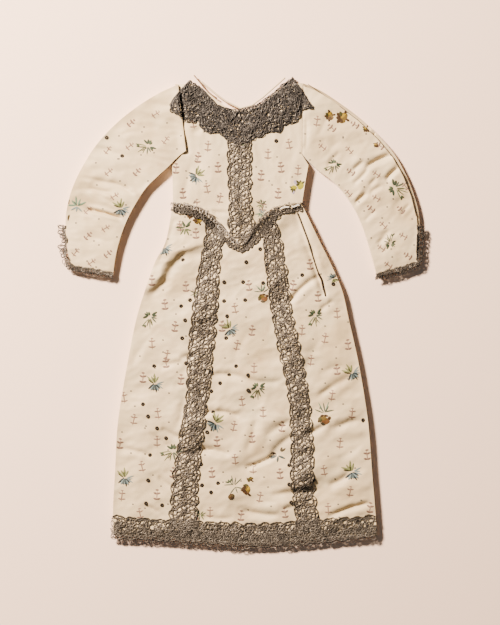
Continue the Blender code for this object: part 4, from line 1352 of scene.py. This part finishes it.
class GOWN_OT_skirt(bpy.types.Operator):
    """Build the front and back of the skirt"""

    bl_idname = "gown.skirt"
    bl_label = "Skirt"

    def execute(self, context):
        back = [BACK_WAIST, *SKIRT_SECTIONS[1:]]
        under = cloth_sheet("skirt_back_cloth", back, True, bare_height, lining_material(), cell=4.0)
        fit_out(under, "silk", "skirt_back")
        front = [lowered(WAIST, -TUCK), *SKIRT_SECTIONS[1:]]
        over = cloth_sheet("skirt_front_cloth", front, True, lambda at: shaped_height("skirt_front", at),
                           silk_material(), rims=("left", "right", "end"))
        fit_out(over, "silk", "skirt_front")
        PILE.add(over)
        return {"FINISHED"}


class GOWN_OT_bodice(bpy.types.Operator):
    """Build the front and back of the bodice"""

    bl_idname = "gown.bodice"
    bl_label = "Bodice"

    def execute(self, context):
        under = cloth_sheet("bodice_back_cloth", bodice_sections(0.0, BACK_WAIST), False, back_neck_height,
                            lining_material(), cell=2.0)
        fit_out(under, "silk", "bodice_back")
        PILE.add(under)
        over = cloth_sheet("bodice_front_cloth", bodice_sections(3.0, WAIST), False,
                           lambda at: shaped_height("bodice_front", at), silk_material(),
                           rims=("left", "right"), begin=0.5)
        fit_out(over, "silk", "bodice_front")
        PILE.add(over)
        return {"FINISHED"}


class GOWN_OT_sleeves(bpy.types.Operator):
    """Build both two-piece sleeves"""

    bl_idname = "gown.sleeves"
    bl_label = "Sleeves"

    def execute(self, context):
        for side, sections, under_height, material, rims in (
                ("left", SLEEVE_LEFT_SECTIONS, bare_height, lining_material(), ("left", "right", "end")),
                ("right", SLEEVE_RIGHT_SECTIONS, under_sleeve_height, silk_material(), ("left", "end"))):
            name = f"sleeve_under_{side}"
            under = cloth_sheet(f"{name}_cloth", sections, True, under_height, material, cell=2.0)
            fit_out(under, "silk", name)
            PILE.add(under)
            panel = f"sleeve_top_{side}"
            top = inset(sections, side, TOP_SLEEVE_INSET[side])
            over = cloth_sheet(f"{panel}_cloth", top, True, lambda at, panel=panel: shaped_height(panel, at),
                               silk_material(), rims=rims)
            fit_out(over, "silk", panel)
            PILE.add(over)
        return {"FINISHED"}


# How much each later stroke of a sprig lies over the ones before it, and where cloth begins.
LAYER = 0.03
LOWEST_CLOTH = 3.0


class Floss:
    """Collects satin patches of floss laid on the silk."""

    STATIONS = 7

    def __init__(self):
        self.flat, self.lifts, self.tints, self.faces = [], [], [], []

    def add(self, centre, stroke, turn, size, jitter, level=0.0):
        """Add one leaf-shaped patch of a stroke of a motif, raised by a level over the ones below it."""
        spin = math.radians(turn)
        right = stroke.right * math.cos(spin) - stroke.up * math.sin(spin)
        up = stroke.right * math.sin(spin) + stroke.up * math.cos(spin)
        middle = np.array([centre[0] + right * size, centre[1] - up * size])
        lean = math.radians(turn + stroke.turn) + jitter * 0.15
        forward = np.array([math.cos(lean), -math.sin(lean)])
        aside = np.array([forward[1], -forward[0]])
        base = len(self.flat)
        for station in range(self.STATIONS):
            share = station / (self.STATIONS - 1)
            half = stroke.width * size / 2 * (math.sin(math.pi * (0.06 + 0.88 * share)) ** 0.7)
            spot = middle + forward * stroke.length * size * (share - 0.5)
            for place, lift in ((-1.0, 0.04), (0.0, 0.26), (1.0, 0.04)):
                self.flat.append(spot + aside * half * place)
                self.lifts.append(lift + level)
                self.tints.append((*FLOSS[stroke.tint], 1.0))
        for station in range(self.STATIONS - 1):
            for column in range(2):
                corner = base + station * 3 + column
                self.faces.append((corner, corner + 1, corner + 4, corner + 3))

    def finish(self, name):
        """Make one mesh of all the patches, coloured by their tints."""
        flat = np.array(self.flat)
        heights = PILE.heights(flat, 0.0)
        faces = np.array(self.faces)
        used, faces = np.unique(faces[heights[faces].min(1) > LOWEST_CLOTH], return_inverse=True)
        co = placed(flat, heights + np.array(self.lifts))[used]
        mesh = bpy.data.meshes.new(name)
        mesh.from_pydata(co.tolist(), [], faces.reshape(-1, 4).tolist())
        tint = mesh.color_attributes.new("tint", "FLOAT_COLOR", "POINT")
        tint.data.foreach_set("color", np.array(self.tints)[used].ravel())
        mesh.materials.append(floss_material())
        mesh.shade_smooth()
        item = bpy.data.objects.new(name, mesh)
        bpy.context.scene.collection.objects.link(item)
        return item


def on_cloth(across, down):
    """Whether silk lies under a point."""
    return PILE.heights(np.array([[across, down]]), 0.0)[0] > LOWEST_CLOTH


class GOWN_OT_figures(bpy.types.Operator):
    """Weave the small brick figures and the faint dots between them"""

    bl_idname = "gown.figures"
    bl_label = "Woven figures"

    def execute(self, context):
        floss = Floss()
        placed_figures = [(grain.turn, figure) for grain in FIGURES for figure in grain.figures]
        for index, (turn, figure) in enumerate(placed_figures):
            sway = math.sin(index * 2.3)
            size = SLEEVE_FIGURE_SIZE if turn else 1.0
            for stroke in FIGURE_STROKES[figure.kind]:
                floss.add((figure.across, figure.down), stroke, turn + sway * 5.0, size, sway)
            for offset in DOT_OFFSETS:
                across, down = figure.across + offset.across, figure.down + offset.down
                if on_cloth(across, down):
                    floss.add((across, down), FIGURE_STROKES["dot"][0], 0.0, 1.0, sway)
        fit_out(floss.finish("woven_figures"), "floss")
        return {"FINISHED"}


def spread_fan(fan):
    """The strokes of a fan: each starts at its point, and they turn from its first angle to its last."""
    if isinstance(fan, Stroke):
        return [fan]
    strokes = []
    for number, turn in enumerate(np.linspace(fan.first, fan.last, fan.count)):
        length = fan.length * (1.0 - 0.22 * (number % 2))
        reach, angle = 0.62 * length, math.radians(turn)
        right, up = fan.right + reach * math.cos(angle), fan.up + reach * math.sin(angle)
        strokes.append(Stroke(fan.tint, right, up, length, fan.width, turn))
    return strokes


class GOWN_OT_sprigs(bpy.types.Operator):
    """Brocade the coloured flower sprigs"""

    bl_idname = "gown.sprigs"
    bl_label = "Flower sprigs"

    def execute(self, context):
        floss = Floss()
        for index, sprig in enumerate(SPRIGS):
            strokes = [stroke for fan in SPRIG_FANS[sprig.kind] for stroke in spread_fan(fan)]
            for number, stroke in enumerate(strokes):
                floss.add((sprig.across, sprig.down), stroke, sprig.turn, sprig.size,
                          math.sin(index * 3.1 + number * 1.7), number * LAYER)
        fit_out(floss.finish("flower_sprigs"), "floss")
        return {"FINISHED"}


# The lace strips and what lies in them. A cord's radius is a share of the gimp's.
STRIPS = rows_of(
    Trim,
    ("centre_lace", CENTRE_LACE, 3.0),
    ("skirt_lace_left", SKIRT_LACE_LEFT, 11.0),
    ("skirt_lace_right", SKIRT_LACE_RIGHT, 17.0),
    ("hem_lace", HEM_LACE, 23.0, HEM_OVERHANG, END_LINES[0]),
)
STRIP_MARGINS = (3.0, 3.0)
STRIP_REPEAT = 13.0
STRIP_CELL = 4.4
HEM_NETS = rows_of(Net, ((2.0, 3.0), 3.8, 0.72, 40.0, 0.5, (0.26, 0.66)), ((1.0, 14.0), 3.6, 0.7, 50.0, 0.4))
HEM_PICOTS = Picots(6.2, 0.04, -2.8, 0.9, 0.3, 9.0)


class GOWN_OT_lace_strips(bpy.types.Operator):
    """Make the centre strip, the two skirt strips and the hem band of bobbin lace"""

    bl_idname = "gown.lace_strips"
    bl_label = "Lace strips"

    def execute(self, context):
        for trim in STRIPS:
            lace = Lace(trim)
            for side in (0, 1):
                scalloped_edge(lace, side, STRIP_REPEAT, depth=3.0, cord=0.95, layer=0.0, spokes=3)
            ring_net(lace, Net(STRIP_MARGINS, STRIP_CELL, 0.86, 0.0))
            star_net(lace, STRIP_REPEAT, cord=0.95, layer=30.0)
            swaying_net(lace, STRIP_MARGINS, STRIP_CELL, cell=8.7, cord=0.72, layer=60.0, lift=0.2)
            knots(lace, spacing=6.0, cord=0.8, layer=0.0)
            if trim.name == "hem_lace":
                for net in HEM_NETS:
                    ring_net(lace, net)
                picots(lace, HEM_PICOTS)
            lace.finish("metal_lace", lace_finishes())
        return {"FINISHED"}


COLLAR_NETS = rows_of(Net, ((2.2, 1.6), 3.2, 0.85, 3.0), ((1.2, 0.8), 4.2, 0.8, 8.0, 0.6))
# Where the collar's heavy cords run, as shares of its width, and the length of their waves.
COLLAR_CORDS = ((0.2, 13.0), (0.4, 17.0), (0.6, 11.0), (0.82, 15.0))


class GOWN_OT_collar(bpy.types.Operator):
    """Gather the dark lace flounce round the neckline"""

    bl_idname = "gown.collar"
    bl_label = "Collar"

    def execute(self, context):
        lace = Lace(Trim("collar_lace", COLLAR_LACE, 40.0))
        scalloped_edge(lace, 0, repeat=4.6, depth=1.2, cord=0.8, layer=1.0, spokes=3)
        scalloped_edge(lace, 1, repeat=9.0, depth=0.8, cord=1.2, layer=2.0, spokes=4)
        for net in COLLAR_NETS:
            ring_net(lace, net)
        swaying_net(lace, (1.6, 0.6), spacing=4.6, cell=7.8, cord=0.8, layer=4.0, lift=1.1)
        for middle, wave in COLLAR_CORDS:
            meander(lace, middle, wave, cord=0.85, lift=1.2)
        knots(lace, spacing=0.8, cord=0.85, layer=7.0)
        lace.finish("dark_lace", collar_finishes())
        return {"FINISHED"}


# The waist edging's nets, twisted cords and loops, in the order of their columns' names.
WAIST_NETS = rows_of(
    Net,
    ((1.0, 1.6), 3.6, 0.9, 3.0, 0.2),
    ((5.8, 0.3), 3.3, 0.6, 5.0, 0.8, (0.0, 0.5), 2),
    ((0.0, 4.8), 3.4, 1.1, 6.0, 0.5, (0.03, 0.3), 0),
    ((0.4, 0.4), 3.6, 0.85, 8.0, 0.5, (0.66, 0.84), 0),
)
WAIST_RAILS = rows_of(
    Rail,
    (0.9, (0.3, 0.86), 0.75, 0.6, 1.0, 1), (0.3, (0.3, 0.64), 0.75, 0.5, 1.0, 1),
    (0.97, (0.0, 0.5), 0.6, 0.9, 1.0, 2),
)
WAIST_PICOTS = rows_of(Picots, (2.9, 0.9, 1.3, 0.6, 1.0, 2.0), (4.4, 0.4, -3.0, 0.9, 0.8, 4.0))
# Where the flat strips painted near-white as the silver's highlight lie along the waist edging and across
# it, as shares.
HIGHLIGHT_STRIP_RUNS = ((0.865, 0.925), (0.935, 0.985))
HIGHLIGHT_STRIP_SHARES = (0.62, 0.7)

CUFFS = rows_of(
    Trim,
    ("cuff_lace_left", CUFF_LACE_LEFT, 67.0, CUFF_OVERHANG, END_LINES[1]),
    ("cuff_lace_right", CUFF_LACE_RIGHT, 71.0, CUFF_OVERHANG, END_LINES[2]),
)
CUFF_NETS = rows_of(
    Net, ((1.8, 1.4), 3.4, 0.9, 1.0, 0.6, (0.0, 1.0), 0), ((4.6, 1.0), 4.6, 0.45, 5.0, 1.0, (0.4, 1.0), 2))
SLITS = rows_of(
    Trim,
    ("slit_lace_left", SLIT_LACE_LEFT, 73.0, SLIT_OVERHANG, edge_line(SLEEVE_LEFT_SECTIONS, 0.0)),
    ("slit_lace_right", SLIT_LACE_RIGHT, 79.0, SLIT_OVERHANG, edge_line(SLEEVE_RIGHT_SECTIONS, 1.0)),
)


def waist_edging():
    """The edging of the V: nets, twisted cords, loops and the two strips at its right end, painted
    near-white as the silver's highlight.
    """
    lace = Lace(Trim("waist_lace", WAIST_LACE, 60.0))
    for net in WAIST_NETS:
        ring_net(lace, net)
    for rail in WAIST_RAILS:
        twisted_rail(lace, rail)
    for loops in WAIST_PICOTS:
        picots(lace, loops)
    for first, last in HIGHLIGHT_STRIP_RUNS:
        for share in HIGHLIGHT_STRIP_SHARES:
            run = np.linspace(first, last, 12) * lace.length
            lay_cord(lace, run, np.full(12, share), 0.42, 1.6, 1.0, 1.0, finish=3)
    lace.finish("metal_lace", edging_finishes())


def cuff_edging(trim):
    """The folded edging of one cuff."""
    lace = Lace(trim)
    railed_edging(lace, (0.5, 0.9), loop=5.2, cord=0.6, lift=0.6)
    for net in CUFF_NETS:
        ring_net(lace, net)
    picots(lace, Picots(3.7, 0.45, -2.6, 0.9, 0.4, 2.0))
    lace.finish("metal_lace", edging_finishes())


def slit_edging(trim, root, way):
    """The edging of one wrist slit: loops stand out one way, from a root at a share of its width."""
    lace = Lace(trim)
    railed_edging(lace, tuple(sorted((root, root - way * 0.16))), loop=3.6, cord=0.7, lift=0.3)
    ring_net(lace, Net((2.8, 2.8), 3.8, 0.75, 6.0))
    picots(lace, Picots(4.6, root, way * 5.2, 1.4, 0.5, 1.0, 1))
    lace.finish("metal_lace", edging_finishes()[:2])


class GOWN_OT_edgings(bpy.types.Operator):
    """Make the folded edgings of the waist, cuffs and wrist slits"""

    bl_idname = "gown.edgings"
    bl_label = "Edgings"

    def execute(self, context):
        waist_edging()
        for trim in CUFFS:
            cuff_edging(trim)
        slit_edging(SLITS[0], 0.8, -1.0)
        slit_edging(SLITS[1], 0.2, 1.0)
        return {"FINISHED"}


# Cords that show as thin lines: the neck's edge, the right sleeve's seam, and at the right hip dark cords
# that mark the silk's overlap and paint the shade along it.
NECK_LINE = rows_of(Flat, (-48, -1), (-43, 5), (-38, 11.5), (-32, 17.5), (-25, 22))
HIP_LINE = rows_of(
    Flat,
    (55.3, 137), (58.3, 144), (62, 154), (65.7, 164), (70, 178), (74, 190.7), (76.3, 197.3), (79.7, 204),
    (81.7, 214), (83.3, 220),
)
SLEEVE_LINE = rows_of(
    Flat,
    (66, 8), (78, 16), (96, 29), (116, 44.5), (135.5, 63), (150.5, 81), (161, 100), (169, 120),
    (174, 140),
)


BINDINGS = rows_of(
    Binding,
    (NECK_LINE, 0.8, 0), (HIP_LINE, 0.95, 1), (HIP_LINE[-4:-1], 1.3, 3), (SLEEVE_LINE, 0.38, 1),
    (BACK_NECK[1:-1], 1.1, 2),
)
# The dark thread is the right sleeve's seam, and at the right hip it paints the shade along the silk's
# overlap; the shaded fold paints the wider shade at its lower end.
BINDING_COLOURS = {
    "neck_thread": linear(104, 80, 58), "seam_and_overlap_shade_thread": linear(58, 52, 44),
    "cream_binding": linear(204, 186, 154), "shaded_fold": linear(36, 27, 19),
}
BINDING_STEP = 1.2


def bridged(heights):
    """Heights along a cord that spans small dips: the highest close by, then a running mean."""
    highest = np.max([np.roll(np.pad(heights, 2, "edge"), shift)[2:-2] for shift in range(-2, 3)], axis=0)
    return np.convolve(np.pad(highest, 4, "edge"), np.full(9, 1 / 9), "valid")


class GOWN_OT_bindings(bpy.types.Operator):
    """Lay the cords of the neck's edge and the right sleeve's seam, and the dark cords that paint the shade
    at the right hip
    """

    bl_idname = "gown.bindings"
    bl_label = "Bindings"

    def execute(self, context):
        strands = Strands()
        for binding in BINDINGS:
            line = np.array(binding.course, float)
            runs = np.concatenate([[0.0], np.cumsum(np.hypot(*np.diff(line, axis=0).T))])
            steps = np.linspace(0.0, runs[-1], int(runs[-1] / BINDING_STEP) + 2)
            points = np.column_stack([np.interp(steps, runs, column) for column in line.T])
            heights = bridged(PILE.heights(points, 3.4)) + 0.6
            strands.add(placed(points, heights), binding.radius * MM, finish=binding.finish)
        threads = [plain_material(name, colour, 0.9) for name, colour in BINDING_COLOURS.items()]
        fit_out(strands.finish("neck_bindings", *threads), "floss")
        return {"FINISHED"}


class GOWN_OT_spangles(bpy.types.Operator):
    """Sew on the round spangles"""

    bl_idname = "gown.spangles"
    bl_label = "Spangles"

    def execute(self, context):
        diameter = settings().spangle_diameter
        metal, shader, tree = shader_material("tarnished_spangle", 0.38, 0.8)
        worn = use_group(tree, patches_group(), object_coordinates(tree), Scale=900.0, From=0.4, To=0.7)
        tree.links.new(mixed(tree, worn.outputs["Mask"], linear(44, 39, 34), linear(92, 84, 73)),
                       shader.inputs["Base Color"])
        bpy.ops.object.select_all(action="DESELECT")
        bpy.ops.mesh.primitive_torus_add(major_segments=20, minor_segments=6, major_radius=diameter * 0.27,
                                         minor_radius=diameter * 0.225)
        first = bpy.context.object
        bpy.ops.transform.resize(value=(1.0, 1.0, 0.34), center_override=(0.0, 0.0, 0.0))
        bpy.ops.object.transform_apply(location=False, rotation=False, scale=True)
        first.data.materials.append(metal)
        bpy.ops.object.shade_smooth()
        spots = np.array(SPANGLES, float)
        heights = PILE.heights(spots, 0.0) + 0.35
        copies = []
        for place in placed(spots, heights):
            copy = first.copy()
            copy.data = first.data.copy()
            copy.location = place
            bpy.context.scene.collection.objects.link(copy)
            copies.append(copy)
        bpy.data.objects.remove(first, do_unlink=True)
        activate(copies[0])
        for copy in copies:
            copy.select_set(True)
        bpy.ops.object.join()
        joined = bpy.context.object
        joined.name = joined.data.name = "spangles"
        bpy.ops.object.transform_apply(location=True, rotation=True, scale=True)
        fit_out(joined, "spangle")
        return {"FINISHED"}


LAMPS = rows_of(
    Lamp,
    ("key_light", Vector((-1.11, 1.11, 1.12)), 0.29, 253.0),
    ("fill_light", Vector((0.6, -0.7, 1.6)), 1.8, 1.6),
)
SKY_COLOUR = (0.92, 0.94, 1.0, 1.0)
SKY_STRENGTH = 0.08


class GOWN_OT_stage(bpy.types.Operator):
    """Set the plain floor, the studio light and the camera"""

    bl_idname = "gown.stage"
    bl_label = "Stage"

    def execute(self, context):
        bpy.ops.object.select_all(action="DESELECT")
        bpy.ops.mesh.primitive_plane_add(size=6.0, location=(0.0, 0.0, -0.0002))
        floor = bpy.context.object
        floor.name = "floor"
        floor.data.materials.append(floor_material())
        for lamp in LAMPS:
            light = bpy.data.lights.new(lamp.name, "AREA")
            light.size = lamp.size
            light.energy = lamp.power
            light.color = LIGHT_COLOUR
            item = bpy.data.objects.new(lamp.name, light)
            item.location = lamp.place
            item.rotation_euler = (-lamp.place).to_track_quat("-Z", "Y").to_euler()
            context.scene.collection.objects.link(item)
        world = bpy.data.worlds.new("studio")
        world.use_nodes = True
        world.node_tree.nodes["Background"].inputs["Color"].default_value = SKY_COLOUR
        world.node_tree.nodes["Background"].inputs["Strength"].default_value = SKY_STRENGTH
        context.scene.world = world
        camera = bpy.data.cameras.new("view")
        camera.sensor_fit = "VERTICAL"
        camera.sensor_height = 24.0
        distance = CAMERA_HEIGHT - GOWN_MID_HEIGHT
        camera.lens = camera.sensor_height / 2 / (IMAGE_HEIGHT_MM * MM / 2 / distance)
        viewer = bpy.data.objects.new("view", camera)
        viewer.location = ((IMAGE_CENTRE_ACROSS + CENTRE_OFFSET) * MM, 0.0, CAMERA_HEIGHT)
        context.scene.collection.objects.link(viewer)
        context.scene.camera = viewer
        return {"FINISHED"}


class GOWN_PT_panel(bpy.types.Panel):
    """The gown's settings and builders"""

    bl_label = "Small Silk Gown"
    bl_idname = "GOWN_PT_panel"
    bl_space_type = "VIEW_3D"
    bl_region_type = "UI"
    bl_category = "Gown"

    def draw(self, context):
        for name in GownSettings.__annotations__:
            self.layout.prop(context.scene.gown_settings, name)
        for operator in OPERATORS:
            self.layout.operator(operator.bl_idname)


OPERATORS = (GOWN_OT_skirt, GOWN_OT_bodice, GOWN_OT_sleeves, GOWN_OT_figures, GOWN_OT_sprigs,
             GOWN_OT_lace_strips, GOWN_OT_collar, GOWN_OT_edgings, GOWN_OT_bindings, GOWN_OT_spangles,
             GOWN_OT_stage)


def register():
    """Register the settings, the operators and the panel."""
    for item in (GownSettings, *OPERATORS, GOWN_PT_panel):
        bpy.utils.register_class(item)
    bpy.types.Scene.gown_settings = bpy.props.PointerProperty(type=GownSettings)


def unregister():
    """Take the settings, the operators and the panel away again."""
    del bpy.types.Scene.gown_settings
    for item in reversed((GownSettings, *OPERATORS, GOWN_PT_panel)):
        bpy.utils.unregister_class(item)


def main():
    """Build the whole gown in order."""
    register()
    bpy.ops.gown.skirt()
    bpy.ops.gown.bodice()
    bpy.ops.gown.sleeves()
    bpy.ops.gown.figures()
    bpy.ops.gown.sprigs()
    bpy.ops.gown.lace_strips()
    bpy.ops.gown.collar()
    bpy.ops.gown.edgings()
    bpy.ops.gown.bindings()
    bpy.ops.gown.spangles()
    bpy.ops.gown.stage()


if __name__ == "__main__":
    main()
